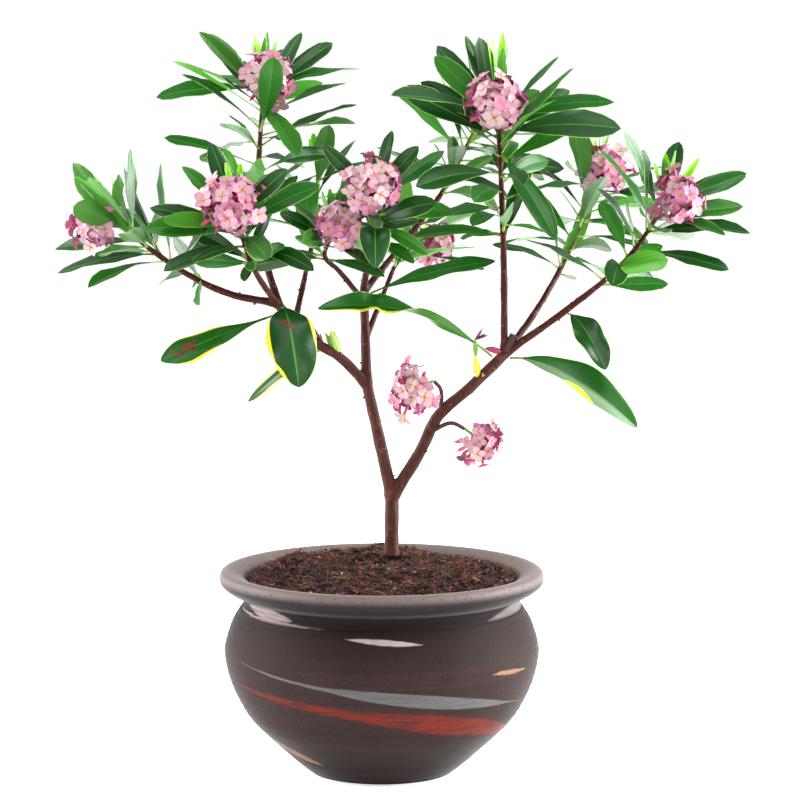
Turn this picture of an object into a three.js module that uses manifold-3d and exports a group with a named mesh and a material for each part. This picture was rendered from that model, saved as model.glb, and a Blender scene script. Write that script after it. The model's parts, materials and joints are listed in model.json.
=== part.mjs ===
// A daphne shrub in a round clay pot: pot, soil, trunk, stems, boughs, leafy shoots and blossom.
// Millimetres, +Z up. The origin is the middle of the pot's flat underside, and the front faces -Y.

import * as THREE from 'three';
import { mergeVertices } from 'three/addons/utils/BufferGeometryUtils.js';
import Module from 'manifold-3d';

const wasm = await Module();
wasm.setup();

// Clear space left where two pieces meet.
const GAP = 0.3;

// The pot is turned: a small foot, a round belly, a pinched neck and a lip that rolls outwards.
const POT = {
  sides: 32,
  wall: 8.5,
  floor: 10,
  foot: [53.8, 0],
  belly: [[68.4, 12], [95.5, 37.5], [115.2, 73.5], [118.5, 90], [112.2, 115], [106, 125.5]],
  neck: [104.4, 131.5],
  lipUnder: [114.5, 139],
  lipEdge: [122, 147],
  lipTop: [118, 153.6],
  lipInner: [107.5, 151],
  mouth: [101.2, 146.5],
  bellySteps: 8,
  innerSteps: 4,
};

// Soil fills the pot to its mouth and rises to a low mound, flat where the trunk stands.
const SOIL = { crown: 162.8, flat: 20, shoulder: [72, 157] };

// Limbs are round in section and taper evenly. A fork is a pair of short stubs on the parent limb.
const LIMB = { sides: 6, twigSides: 3, stride: 18, stub: 11, flare: 2.3, flareHeight: 7, markStep: 4 };

const TRUNK = { foot: [7.3, 0], fork: [7.7, 0, 208], girth: [5.3, 5.6] };

// Each line starts inside its parent limb, at a fraction of the parent's length, and runs through
// the points given. A line with no shoot is a stem. A line with a shoot is a bough up to the fraction
// named bare, and one mass of foliage beyond it. The tips named far are those of its furthest leaves.
const LINES = [
  {
    name: 'left_stem', parent: 'trunk', at: 1, girth: [5, 4.3],
    via: [[-2.8, 0, 256], [-11.2, 0, 293.4]],
  },
  {
    name: 'right_stem', parent: 'trunk', at: 1, girth: [4.9, 4.1],
    via: [[28.5, -2, 242], [42.5, -4, 270], [65, -6, 290.5], [93.3, -8, 318.3]],
  },
  {
    name: 'left_bough', parent: 'left_stem', at: 1, girth: [4.1, 3.4],
    via: [[-33, -9, 316], [-49, -14, 326], [-77.9, -25, 356.6]],
  },
  {
    name: 'middle_stem', parent: 'left_stem', at: 1, girth: [4.1, 3.3],
    via: [[-12.4, 4, 333], [-13.2, 8, 366]],
  },
  {
    name: 'far_left', parent: 'left_bough', at: 1, girth: [3.1, 1.7],
    via: [[-112, -31, 364], [-146, -36, 381], [-193, -42, 416]],
    shoot: { bare: 0.4, leaves: 11, size: 0.95, turn: 4.5, seed: 111 },
    head: { face: [-0.9, -0.35, -0.1], radius: 18 },
    far: [[-239, -30, 379], [-222, -70, 453], [-190, -20, 457], [-160, -60, 462]],
  },
  {
    name: 'upper_left', parent: 'left_bough', at: 0.96, girth: [3, 1.8],
    via: [[-88, 0, 393], [-93, 28, 432], [-89.7, 65, 513]],
    shoot: { bare: 0.42, leaves: 20, size: 1, turn: 0.2, seed: 12 },
    head: { face: [0.2, -0.85, 0.35], radius: 21 },
    far: [
      [-153, 30, 533], [-172, 75, 504], [-17, 90, 525], [-18, 40, 500], [-133, 95, 548], [-62, 97, 553],
      [-62, -10, 464],
    ],
  },
  {
    name: 'front_left', parent: 'left_bough', at: 1, girth: [2.7, 1.7],
    via: [[-93.5, -50, 385], [-105, -72, 425]],
    shoot: { bare: 0.48, leaves: 12, size: 0.9, turn: 2.4, seed: 53 },
    head: { face: [-0.2, -0.85, 0.35], radius: 23 },
    far: [[-167, -80, 431], [-124, -60, 477], [-134, -120, 395], [-89, -120, 391]],
  },
  {
    name: 'inner_left', parent: 'left_bough', at: 0.78, girth: [2.5, 1.6],
    via: [[-57, 12, 375], [-51, 40, 405], [-48.8, 75, 447]],
    shoot: { bare: 0.52, leaves: 11, size: 0.85, turn: 0.3, seed: 24 },
    far: [[-19, 110, 471], [-74, 40, 426]],
  },
  {
    name: 'centre_left', parent: 'middle_stem', at: 0.84, girth: [2.5, 1.6],
    via: [[-32, -5, 379], [-42, -13, 390], [-36, -27, 408]],
    shoot: { bare: 0.6, leaves: 8, size: 0.8, turn: 0.9, seed: 15 },
    head: { face: [0.35, -0.8, 0.4], radius: 19 },
    far: [[-87, -50, 389], [-57, -80, 408]],
  },
  {
    name: 'centre', parent: 'middle_stem', at: 1, girth: [2.7, 1.7],
    via: [[-9, -17, 393], [-5.2, -42, 438]],
    shoot: { bare: 0.5, leaves: 11, size: 0.8, turn: 4.5, seed: 86 },
    head: { face: [0, -0.85, 0.4], radius: 22 },
    far: [[-5, -95, 387], [40, -70, 434], [26, -20, 468]],
  },
  {
    name: 'upper_right', parent: 'middle_stem', at: 0.95, girth: [2.8, 1.6],
    via: [[16, 35, 396], [44, 60, 430], [71, 92, 478]],
    shoot: { bare: 0.6, leaves: 13, size: 0.95, turn: 1, seed: 47 },
    far: [[45, 130, 519], [126, 120, 438]],
  },
  {
    name: 'back', parent: 'middle_stem', at: 0.45, girth: [2.5, 1.5],
    via: [[2, 30, 360], [12, 60, 380], [25, 84, 391]],
    shoot: { bare: 0.64, leaves: 9, size: 0.82, turn: 0.3, seed: 28 },
    head: { face: [0.8, 0.1, 0], radius: 17 },
    far: [[76, 120, 413]],
  },
  {
    name: 'right_upright', parent: 'right_stem', at: 0.98, girth: [3.1, 1.8],
    via: [[91, -9, 365], [90, -9, 410], [86, -9, 495]],
    shoot: { bare: 0.46, leaves: 20, size: 1.03, turn: 0.3, seed: 29 },
    head: { face: [-0.05, -0.85, 0.4], radius: 23 },
    far: [
      [41, 10, 545], [7, -60, 511], [141, -30, 530], [172, -10, 504], [174, -60, 487], [72, 14, 551],
      [25, -60, 445], [128, -50, 405],
    ],
  },
  {
    name: 'right_back', parent: 'right_stem', at: 1, girth: [2.9, 1.6],
    via: [[116, 16, 347], [139, 48, 383], [164, 86, 436]],
    shoot: { bare: 0.48, leaves: 14, size: 0.95, turn: 3.1, seed: 100 },
    head: { face: [0.25, -0.6, 0.6], radius: 20 },
    far: [[124, 60, 425], [104, 110, 434], [147, 90, 386]],
  },
  {
    name: 'far_right', parent: 'right_stem', at: 1, girth: [3.1, 1.7],
    via: [[137, -20, 351], [179, -32, 388], [208, -39, 430]],
    shoot: { bare: 0.52, leaves: 13, size: 0.95, turn: 4.5, seed: 91 },
    head: { face: [0.45, -0.8, 0.3], radius: 20 },
    far: [[270, -5, 449], [270, -48, 410], [207, -88, 394], [188, -80, 473]],
  },
];

// Two heads of blossom hang low on short twigs of their own, off the right stem.
const LOW_BLOSSOM = [
  {
    name: 'low_blossom_left', parent: 'right_stem', at: 0.52, girth: [1.5, 1.2],
    via: [[44, -11, 291], [39, -13, 297]], head: { face: [-0.9, -0.1, -0.35], radius: 18 },
  },
  {
    name: 'low_blossom_right', parent: 'right_stem', at: 0.4, girth: [1.6, 1.2],
    via: [[52, -8, 265], [62, -11, 261]], head: { face: [0.7, -0.2, -0.75], radius: 17 },
  },
];

// Leaves that hang one by one from the bare part of a limb. Each runs from that limb to its tip,
// bowing up by the amount named arch and out by the amount named swing.
const LONE_LEAVES = [
  {
    name: 'leaf_left_broad', limb: 'left_bough', at: 0.95,
    tip: [-60, -66, 299], arch: 16, half: 19, roll: 0.1,
  },
  {
    name: 'leaf_left_spotted', limb: 'left_bough', at: 0.9,
    tip: [-162, -45, 316], arch: 3, half: 12, roll: -0.9,
  },
  {
    name: 'leaf_left_small', limb: 'left_bough', at: 0.45,
    tip: [-100, 10, 279], arch: 10, half: 5.5, roll: -0.4,
  },
  {
    name: 'leaf_middle_long', limb: 'right_stem', at: 0.93,
    tip: [-46.5, -40, 354], arch: 34, half: 9.5, roll: -0.8,
  },
  {
    name: 'leaf_centre_front', limb: 'centre', at: 0.42,
    tip: [-4, -80, 387.5], arch: 48, swing: 40, half: 11.5, roll: 0,
  },
  {
    name: 'leaf_centre_right', limb: 'middle_stem', at: 0.9,
    tip: [84, -18, 387], arch: 8, half: 8.5, roll: 0.7,
  },
  {
    name: 'leaf_right_long', limb: 'right_stem', at: 0.95,
    tip: [188, -48, 267], arch: 26, half: 12.5, roll: 0.7,
  },
  {
    name: 'leaf_right_low', limb: 'far_right', at: 0.32,
    tip: [164, -58, 311], arch: 16, half: 11, roll: 0.4,
  },
];

// A leaf is long and widest past its middle. Its blade is three-sided, with a low keel along the rib.
// The outline is a product of two powers, one rising from the stalk and one falling to the tip.
const LEAF = {
  longest: 79,
  slimness: 0.14,
  keel: 0.018,
  stalk: 0.1,
  stalkHalf: 0.9,
  rise: 1.1,
  fall: 0.65,
  widest: 0.315,
  sink: 0.2,
  footRadius: 1.25,
  footLength: 1,
  stations: [0, 0.42, 0.75, 1],
  archAt: 0.45,
};

// How the leaves of a shoot stand, from its tip down. A pair is a range to pick from, or runs from the
// topmost leaf to the lowest.
const GROWTH = {
  topShare: 0.985,
  lowShare: 0.08,
  crowding: 1.5,
  jitter: [-0.25, 0.25],
  opening: [0.58, 1.55],
  openingPower: 0.7,
  openingSpread: [0.85, 1.15],
  fullness: [0.78, 1],
  fullnessPhase: [0.1, 0.85],
  lengthSpread: [0.86, 1.08],
  halfSpread: [0.88, 1.2],
  bend: [0.1, 0.55],
  bendSpread: [0.4, 1.4],
  tilt: [0, 0.9],
  lowestRise: 0,
  centre: 0.7,
  reach: 110,
};

// Slim young leaves stand upright at the tip of each shoot.
const YOUNG = { count: 3, length: 42, lengthSpread: [0.8, 1.2], half: 3.6, angle: 0.22 };

// The furthest leaves spring from one of these shares of the leafy stretch.
const FAR = {
  shares: [0.1, 0.25, 0.4, 0.55, 0.7, 0.85, 0.97],
  halfSpread: [0.95, 1.2],
  tilt: [0.2, 0.9],
  bow: 0.1,
  seedStep: 1000,
};

// Where a leaf would come too near something it is turned round the stem by these steps, then left out.
const TURNS = [0, 0.45, -0.45, 0.9, -0.9, 1.35, -1.35];
const CLEAR = { leaf: 6, own: 2.2, limb: 3.6, head: 3, ownHead: 0.9, ownPart: 0.4, farOff: 126.4 };

// Spots on a blade that are tested for clearance.
const SPOTS = { along: 12, across: [-1, -0.5, 0, 0.5, 1] };

// A head of blossom: star-shaped flowers round a small core. All but star and stalkRoot are shares.
const HEAD = {
  core: 0.72,
  flowers: 11,
  star: 9,
  petalTip: 0.98,
  petalMiddle: 0.82,
  root: 0.3,
  spread: 0.86,
  offset: 0.95,
  stalkRoot: 2,
};

const COLOURS = {
  pot: { color: 0x4a3a39, roughness: 0.72, metalness: 0 },
  soil: { color: 0x56362f, roughness: 0.95, metalness: 0 },
  bark: { color: 0x60403a, roughness: 0.8, metalness: 0 },
  foliage: { color: 0x1f6a1e, roughness: 0.4, metalness: 0 },
  blossom: { color: 0xe3a6c2, roughness: 0.6, metalness: 0 },
};

const GOLDEN_ANGLE = Math.PI * (3 - Math.sqrt(5));
const UP = new THREE.Vector3(0, 0, 1);
const vector = (list) => new THREE.Vector3(...list);
const mix = (from, to, share) => from + (to - from) * share;

// A repeatable random source: one seed always grows the same shoot.
function seededRandom(seed) {
  let state = Math.imul(seed, 2654435761) >>> 0;
  return (low, high) => {
    state = (Math.imul(state, 1664525) + 1013904223) >>> 0;
    return mix(low, high, state / 4294967296);
  };
}

function toSolid(geometry) {
  geometry.deleteAttribute('normal');
  geometry.deleteAttribute('uv');
  const merged = mergeVertices(geometry, 1e-4);
  const vertProperties = new Float32Array(merged.getAttribute('position').array);
  const triVerts = new Uint32Array(merged.getIndex().array);
  return new wasm.Manifold(new wasm.Mesh({ numProp: 3, vertProperties, triVerts }));
}

// Joins solids and keeps the largest body, so that a sealed hollow is filled and a scrap is dropped.
function fuse(solids) {
  const bodies = wasm.Manifold.union(solids).decompose();
  const largest = bodies.reduce((best, body) => (body.volume() > best.volume() ? body : best));
  const mesh = largest.getMesh();
  const geometry = new THREE.BufferGeometry();
  geometry.setAttribute('position', new THREE.BufferAttribute(new Float32Array(mesh.vertProperties), 3));
  geometry.setIndex(new THREE.BufferAttribute(new Uint32Array(mesh.triVerts), 1));
  geometry.computeVertexNormals();
  return geometry;
}

function namedMesh(name, geometry, finish) {
  const mesh = new THREE.Mesh(geometry, new THREE.MeshStandardMaterial(COLOURS[finish]));
  mesh.name = name;
  return mesh;
}

// Reshapes a unit cylinder or cone: place() puts each point by its share of the way along, 0 to 1,
// and by its place across and through the section, each from -1 to 1.
function sweep(sides, steps, pointed, place) {
  const geometry = pointed
    ? new THREE.ConeGeometry(1, 1, sides, steps)
    : new THREE.CylinderGeometry(1, 1, 1, sides, steps);
  const position = geometry.getAttribute('position');
  for (let i = 0; i < position.count; i++) {
    const along = position.getY(i) + 0.5;
    const width = pointed ? Math.max(1 - along, 1e-6) : 1;
    const point = place(along, position.getX(i) / width, position.getZ(i) / width);
    position.setXYZ(i, point.x, point.y, point.z);
  }
  return toSolid(geometry);
}

// A pot wall or soil body, turned about the upright axis.
function turned(profile, sides) {
  const outline = profile.map(([radius, height]) => new THREE.Vector2(radius, height));
  const geometry = new THREE.LatheGeometry(outline, sides);
  geometry.rotateX(Math.PI / 2);
  return geometry;
}

function bellyCurve(inset, steps) {
  const points = POT.belly.map(([radius, height]) => new THREE.Vector2(radius - inset, height));
  return new THREE.SplineCurve(points).getPoints(steps).map((point) => [point.x, point.y]);
}

function insideWall(extra) {
  const belly = bellyCurve(POT.wall + extra, POT.innerSteps);
  const neck = [POT.neck[0] - POT.wall - extra, POT.neck[1]];
  return [[0, POT.floor + extra], [belly[0][0], POT.floor + extra], ...belly, neck];
}

function makePot() {
  const outside = [[0, 0], POT.foot, ...bellyCurve(0, POT.bellySteps), POT.neck];
  const lip = [POT.lipUnder, POT.lipEdge, POT.lipTop, POT.lipInner, POT.mouth];
  const inside = insideWall(0).reverse();
  return fuse([toSolid(turned([...outside, ...lip, ...inside], POT.sides))]);
}

function makeSoil() {
  const edge = [POT.mouth[0] - GAP, POT.mouth[1]];
  const top = [SOIL.shoulder, [SOIL.flat, SOIL.crown], [0, SOIL.crown]];
  const geometry = turned([...insideWall(GAP), edge, ...top], POT.sides);
  return fuse([toSolid(geometry)]);
}

// Limbs

const curves = new Map();
const limbSamples = [];

function trunkCurve() {
  const foot = vector([...TRUNK.foot, SOIL.crown + GAP]);
  return new THREE.CatmullRomCurve3([foot, vector(TRUNK.fork)]);
}

function girthAt(line, share) {
  return mix(line.girth[0], line.girth[1], share);
}

// Lays down the middle line of a limb and marks points along it, which leaves keep clear of.
function layLine(line) {
  const parent = curves.get(line.parent).curve;
  const curve = new THREE.CatmullRomCurve3([parent.getPointAt(line.at), ...line.via.map(vector)]);
  curves.set(line.name, { curve, line });
  markLimb(line.name, curve, line);
}

function markLimb(name, curve, line) {
  const count = Math.ceil(curve.getLength() / LIMB.markStep);
  for (let i = 0; i <= count; i++) {
    const share = i / count;
    limbSamples.push({ name, share, point: curve.getPointAt(share), radius: girthAt(line, share) });
  }
}

// One stretch of a limb, from one distance along its line to another.
function limbSolid(curve, from, to, radiusAt, sides = LIMB.sides) {
  const length = curve.getLength();
  const steps = Math.max(1, Math.round((to - from) / LIMB.stride));
  return sweep(sides, steps, false, (along, across, through) => {
    const share = mix(from, to, along) / length;
    const middle = curve.getPointAt(share);
    const forward = curve.getTangentAt(share);
    const out = new THREE.Vector3(0, 1, 0).addScaledVector(forward, -forward.y).normalize();
    const side = new THREE.Vector3().crossVectors(forward, out);
    const radius = radiusAt(share);
    return middle.addScaledVector(side, across * radius).addScaledVector(out, through * radius);
  });
}

// The stubs on a limb where others spring from it: the first stretch of each of their lines, and the
// foot of each lone leaf.
function stubsOn(name) {
  const springing = [...LINES, ...LOW_BLOSSOM].filter((line) => line.parent === name);
  const forks = springing.map((line) => {
    const { curve } = curves.get(line.name);
    return limbSolid(curve, 0, LIMB.stub, (share) => girthAt(line, share));
  });
  const feet = LONE_LEAVES.filter((plan) => plan.limb === name).map((plan) => {
    const { root, start, forward } = loneLeaf(plan);
    const foot = new THREE.LineCurve3(root, start.clone().addScaledVector(forward, -GAP));
    return limbSolid(foot, 0, foot.getLength(), () => LEAF.footRadius, LIMB.twigSides);
  });
  return [...forks, ...feet];
}

function makeTrunk() {
  const { curve } = curves.get('trunk');
  const height = curve.getLength();
  const flareAt = (share) => LIMB.flare * Math.exp(-share * height / LIMB.flareHeight);
  const radiusAt = (share) => girthAt(TRUNK, share) + flareAt(share);
  return fuse([limbSolid(curve, 0, height, radiusAt), ...stubsOn('trunk')]);
}

function bareEnd(line) {
  const length = curves.get(line.name).curve.getLength();
  return line.shoot ? line.shoot.bare * length : length;
}

function makeLimb(line) {
  const { curve } = curves.get(line.name);
  const body = limbSolid(curve, LIMB.stub + GAP, bareEnd(line), (share) => girthAt(line, share));
  return fuse([body, ...stubsOn(line.name)]);
}

// Leaves

// Half the width of a blade, as a share of its widest, at a share of the way along.
function bladeShare(along) {
  const blade = Math.max(0, (along - LEAF.stalk) / (1 - LEAF.stalk));
  return Math.pow(blade, LEAF.rise) * Math.pow(1 - blade, LEAF.fall) / LEAF.widest;
}

// The blade's upper face turns outwards as the leaf bends over, away from the stem's axis.
function leafFrame(leaf, along) {
  const curve = new THREE.QuadraticBezierCurve3(...leaf.points);
  const point = curve.getPoint(along);
  const forward = curve.getTangent(along);
  const face = leaf.axis.clone().multiplyScalar(forward.dot(leaf.outward));
  face.addScaledVector(leaf.outward, -forward.dot(leaf.axis));
  face.addScaledVector(forward, -face.dot(forward)).normalize().applyAxisAngle(forward, leaf.roll);
  return { point, face, side: new THREE.Vector3().crossVectors(forward, face) };
}

// A point on the blade: across runs from edge to edge, -1 to 1.
function bladePoint(leaf, frame, along, across) {
  const half = Math.max(leaf.half * bladeShare(along), along < 1 ? LEAF.stalkHalf : 0);
  return frame.point.clone().addScaledVector(frame.side, across * half);
}

function leafSolid(leaf) {
  const steps = LEAF.stations.length - 1;
  const frames = LEAF.stations.map((along) => leafFrame(leaf, along));
  const keel = LEAF.keel * leaf.length;
  return sweep(3, steps, true, (along, across, through) => {
    const i = Math.round(along * steps);
    const point = bladePoint(leaf, frames[i], LEAF.stations[i], -Math.sign(Math.round(across)));
    return point.addScaledVector(frames[i].face, through > 0 ? -keel : 0);
  });
}

function leafSamples(leaf) {
  const samples = [];
  for (let i = 1; i <= SPOTS.along; i++) {
    const along = i / SPOTS.along;
    const frame = leafFrame(leaf, along);
    for (const across of SPOTS.across) {
      samples.push({ along, point: bladePoint(leaf, frame, along, across) });
    }
  }
  return samples;
}

// The middle line of a leaf that sets off along one direction and bends down by an angle on its way.
function bentLine(start, direction, bend, length) {
  const middle = start.clone().addScaledVector(direction, length / 2);
  const axis = new THREE.Vector3().crossVectors(direction, UP).normalize();
  const onward = direction.clone().applyAxisAngle(axis, -bend);
  return [start, middle, middle.clone().addScaledVector(onward, length / 2)];
}

// The middle line of a leaf that bows up on its way to a given tip.
function bowedLine(start, tip, arch) {
  return [start, start.clone().lerp(tip, LEAF.archAt).addScaledVector(UP, arch), tip];
}

const grownLeaves = [];
const heads = [];

function touchesLimb(sample, name, bare) {
  return limbSamples.some((limb) => {
    const own = limb.name === name && limb.share > bare;
    return !own && limb.point.distanceTo(sample.point) < limb.radius + CLEAR.limb;
  });
}

function touchesHead(sample, name) {
  return heads.some((head) => {
    const own = head.name === name;
    const keepOff = own ? head.radius * CLEAR.ownHead : head.radius + CLEAR.head;
    return !(own && sample.along < CLEAR.ownPart) && head.centre.distanceTo(sample.point) < keepOff;
  });
}

function touchesLeaf(leaf, samples, name) {
  const tip = leaf.points[2];
  return grownLeaves.some((other) => {
    if (other.middle.distanceTo(tip) > CLEAR.farOff) return false;
    const own = other.name === name;
    const keepOff = own ? CLEAR.own : CLEAR.leaf;
    return samples.some((sample) => !(own && sample.along < CLEAR.ownPart)
      && other.samples.some((spot) => spot.point.distanceTo(sample.point) < keepOff));
  });
}

function leafFits(leaf, name, centre, bare) {
  const samples = leafSamples(leaf);
  if (leaf.points[2].distanceTo(centre) > GROWTH.reach) return false;
  if (samples.some((sample) => touchesLimb(sample, name, bare) || touchesHead(sample, name))) return false;
  if (touchesLeaf(leaf, samples, name)) return false;
  grownLeaves.push({ name, samples, middle: leaf.points[1] });
  return true;
}

// The furthest leaves of one shoot. Each springs from where the stem is one leaf's length from its tip.
function growFarLeaves(line) {
  const { curve } = curves.get(line.name);
  const { bare, size, seed } = line.shoot;
  const random = seededRandom(seed + FAR.seedStep);
  const wanted = LEAF.longest * size;
  const grown = [];
  for (const tip of line.far.map(vector)) {
    const misfit = (share) => Math.abs(curve.getPointAt(share).distanceTo(tip) - wanted);
    const shares = FAR.shares.map((step) => mix(bare, 1, step));
    const share = shares.reduce((best, one) => (misfit(one) < misfit(best) ? one : best));
    const axis = curve.getTangentAt(share);
    const root = curve.getPointAt(share);
    const away = tip.clone().sub(root);
    const outward = away.clone().addScaledVector(axis, -away.dot(axis)).normalize();
    const start = root.addScaledVector(outward, girthAt(line, share) * LEAF.sink);
    const length = start.distanceTo(tip);
    const half = length * LEAF.slimness * random(...FAR.halfSpread);
    const roll = outward.x * random(...FAR.tilt);
    const leaf = { points: bowedLine(start, tip, FAR.bow * length), length, half, roll, axis, outward };
    if (leafFits(leaf, line.name, tip, bare)) grown.push(leaf);
  }
  return grown;
}

// The other leaves of one shoot, from its tip down. They go round the stem by the golden angle, stand
// steeply at the tip and spread and droop lower down.
function growLeaves(line) {
  const { curve } = curves.get(line.name);
  const { bare, leaves, size, turn, seed } = line.shoot;
  const random = seededRandom(seed);
  const centre = curve.getPointAt(mix(bare, 1, GROWTH.centre));
  const lowShare = mix(bare, 1, GROWTH.lowShare);
  const grown = [];
  for (let i = 0; i < leaves + YOUNG.count; i++) {
    const young = i < YOUNG.count;
    const low = young ? 0 : (i - YOUNG.count) / (leaves - 1);
    const share = mix(GROWTH.topShare, lowShare, Math.pow(low, GROWTH.crowding));
    const axis = curve.getTangentAt(share);
    const root = curve.getPointAt(share);
    const around = turn + i * GOLDEN_ANGLE + random(...GROWTH.jitter);
    const opening = young ? YOUNG.angle : mix(...GROWTH.opening, Math.pow(low, GROWTH.openingPower));
    const angle = opening * random(...GROWTH.openingSpread);
    const fullness = mix(...GROWTH.fullness, Math.sin(Math.PI * mix(...GROWTH.fullnessPhase, low)));
    const fullLength = young ? YOUNG.length : LEAF.longest * size * fullness;
    const length = fullLength * random(...(young ? YOUNG.lengthSpread : GROWTH.lengthSpread));
    const half = young ? YOUNG.half : length * LEAF.slimness * random(...GROWTH.halfSpread);
    const bend = young ? 0 : mix(...GROWTH.bend, low) * random(...GROWTH.bendSpread);
    const tilt = random(...GROWTH.tilt);
    for (const step of TURNS) {
      const outward = sideways(axis, around + step);
      const roll = outward.x * tilt;
      const direction = axis.clone().multiplyScalar(Math.cos(angle));
      direction.addScaledVector(outward, Math.sin(angle));
      direction.z = Math.max(direction.z, GROWTH.lowestRise);
      const start = root.clone().addScaledVector(outward, girthAt(line, share) * LEAF.sink);
      const points = bentLine(start, direction.normalize(), bend, length);
      const leaf = { points, length, half, roll, axis, outward };
      if (leafFits(leaf, line.name, centre, bare)) {
        grown.push(leaf);
        break;
      }
    }
  }
  return grown;
}

// A direction square to an axis, at an angle round it.
function sideways(axis, around) {
  const right = new THREE.Vector3(1, 0, 0).addScaledVector(axis, -axis.x).normalize();
  const other = new THREE.Vector3().crossVectors(axis, right);
  return right.multiplyScalar(Math.cos(around)).addScaledVector(other, Math.sin(around));
}

function layHead(line, plan) {
  const { curve } = curves.get(line.name);
  const face = vector(plan.face).normalize();
  const centre = curve.getPointAt(1).addScaledVector(face, plan.radius * HEAD.offset);
  heads.push({ name: line.name, centre, face, radius: plan.radius });
}

// A star of four petals with a dimpled middle, on a root that runs into the head's core.
function flowerSolid(head, direction, twist) {
  const out = sideways(direction, twist);
  const other = new THREE.Vector3().crossVectors(out, direction);
  return sweep(4, 1, true, (along, across, through) => {
    const root = along > 0;
    const middle = !root && across === 0 && through === 0;
    const petal = middle ? HEAD.petalMiddle : HEAD.petalTip;
    const depth = root ? HEAD.root : petal;
    const point = head.centre.clone().addScaledVector(direction, head.radius * depth);
    if (root || middle) return point;
    return point.addScaledVector(other, across * HEAD.star).addScaledVector(out, through * HEAD.star);
  });
}

function headSolids(name) {
  const head = heads.find((one) => one.name === name);
  if (!head) return [];
  const core = new THREE.IcosahedronGeometry(head.radius * HEAD.core, 0);
  core.translate(...head.centre);
  const { curve, line } = curves.get(name);
  const stalkRoot = curve.getPointAt(1).addScaledVector(curve.getTangentAt(1), -HEAD.stalkRoot);
  const stalk = new THREE.LineCurve3(stalkRoot, head.centre);
  const solids = [toSolid(core), limbSolid(stalk, 0, stalk.getLength(), () => line.girth[1], LIMB.twigSides)];
  for (let i = 0; i < HEAD.flowers; i++) {
    const tilt = Math.acos(1 - 2 * HEAD.spread * (i + 0.5) / HEAD.flowers);
    const outward = sideways(head.face, i * GOLDEN_ANGLE);
    const direction = head.face.clone().multiplyScalar(Math.cos(tilt));
    direction.addScaledVector(outward, Math.sin(tilt));
    solids.push(flowerSolid(head, direction, i));
  }
  return solids;
}

function makeFoliage(line, farLeaves) {
  const { curve } = curves.get(line.name);
  const length = curve.getLength();
  const stem = limbSolid(curve, bareEnd(line) + GAP, length, (share) => girthAt(line, share), LIMB.twigSides);
  const leaves = [...farLeaves, ...growLeaves(line)].map(leafSolid);
  return fuse([stem, ...leaves, ...headSolids(line.name)]);
}

function makeLowBlossom(line) {
  const { curve } = curves.get(line.name);
  const twig = limbSolid(curve, LIMB.stub + GAP, curve.getLength(), (share) => girthAt(line, share));
  return fuse([twig, ...headSolids(line.name)]);
}

// A lone leaf sets off from inside its limb. The first stretch is its foot, which stays on the limb.
function loneLeaf(plan) {
  const { curve, line } = curves.get(plan.limb);
  const root = curve.getPointAt(plan.at);
  const [, middle, tip] = bowedLine(root, vector(plan.tip), plan.arch);
  const outward = tip.clone().sub(root).setZ(0).normalize();
  middle.addScaledVector(outward, plan.swing ?? 0);
  const forward = middle.clone().sub(root).normalize();
  const slant = new THREE.Vector3().crossVectors(forward, curve.getTangentAt(plan.at)).length();
  const foot = girthAt(line, plan.at) / slant + LEAF.footLength;
  const start = root.clone().addScaledVector(forward, foot + GAP);
  const length = start.distanceTo(middle) + middle.distanceTo(tip);
  const { half, roll } = plan;
  return { root, start, forward, points: [start, middle, tip], length, half, roll, axis: UP, outward };
}

function makeLoneLeaf(plan) {
  const leaf = loneLeaf(plan);
  grownLeaves.push({ name: plan.name, samples: leafSamples(leaf), middle: leaf.points[1] });
  return fuse([leafSolid(leaf)]);
}

function makePlant() {
  const plant = new THREE.Group();
  plant.add(namedMesh('pot', makePot(), 'pot'), namedMesh('soil', makeSoil(), 'soil'));
  curves.set('trunk', { curve: trunkCurve(), line: TRUNK });
  markLimb('trunk', trunkCurve(), TRUNK);
  for (const line of [...LINES, ...LOW_BLOSSOM]) {
    layLine(line);
    if (line.head) layHead(line, line.head);
  }
  plant.add(namedMesh('trunk', makeTrunk(), 'bark'));
  for (const plan of LONE_LEAVES) plant.add(namedMesh(plan.name, makeLoneLeaf(plan), 'foliage'));
  const shoots = LINES.filter((line) => line.shoot);
  const farLeaves = new Map(shoots.map((line) => [line.name, growFarLeaves(line)]));
  for (const line of LINES) {
    const limbName = line.shoot ? `${line.name}_bough` : line.name;
    plant.add(namedMesh(limbName, makeLimb(line), 'bark'));
  }
  for (const line of shoots) {
    plant.add(namedMesh(`${line.name}_foliage`, makeFoliage(line, farLeaves.get(line.name)), 'foliage'));
  }
  for (const line of LOW_BLOSSOM) plant.add(namedMesh(line.name, makeLowBlossom(line), 'blossom'));
  return plant;
}

export default makePlant();
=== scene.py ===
import json
import math

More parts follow.
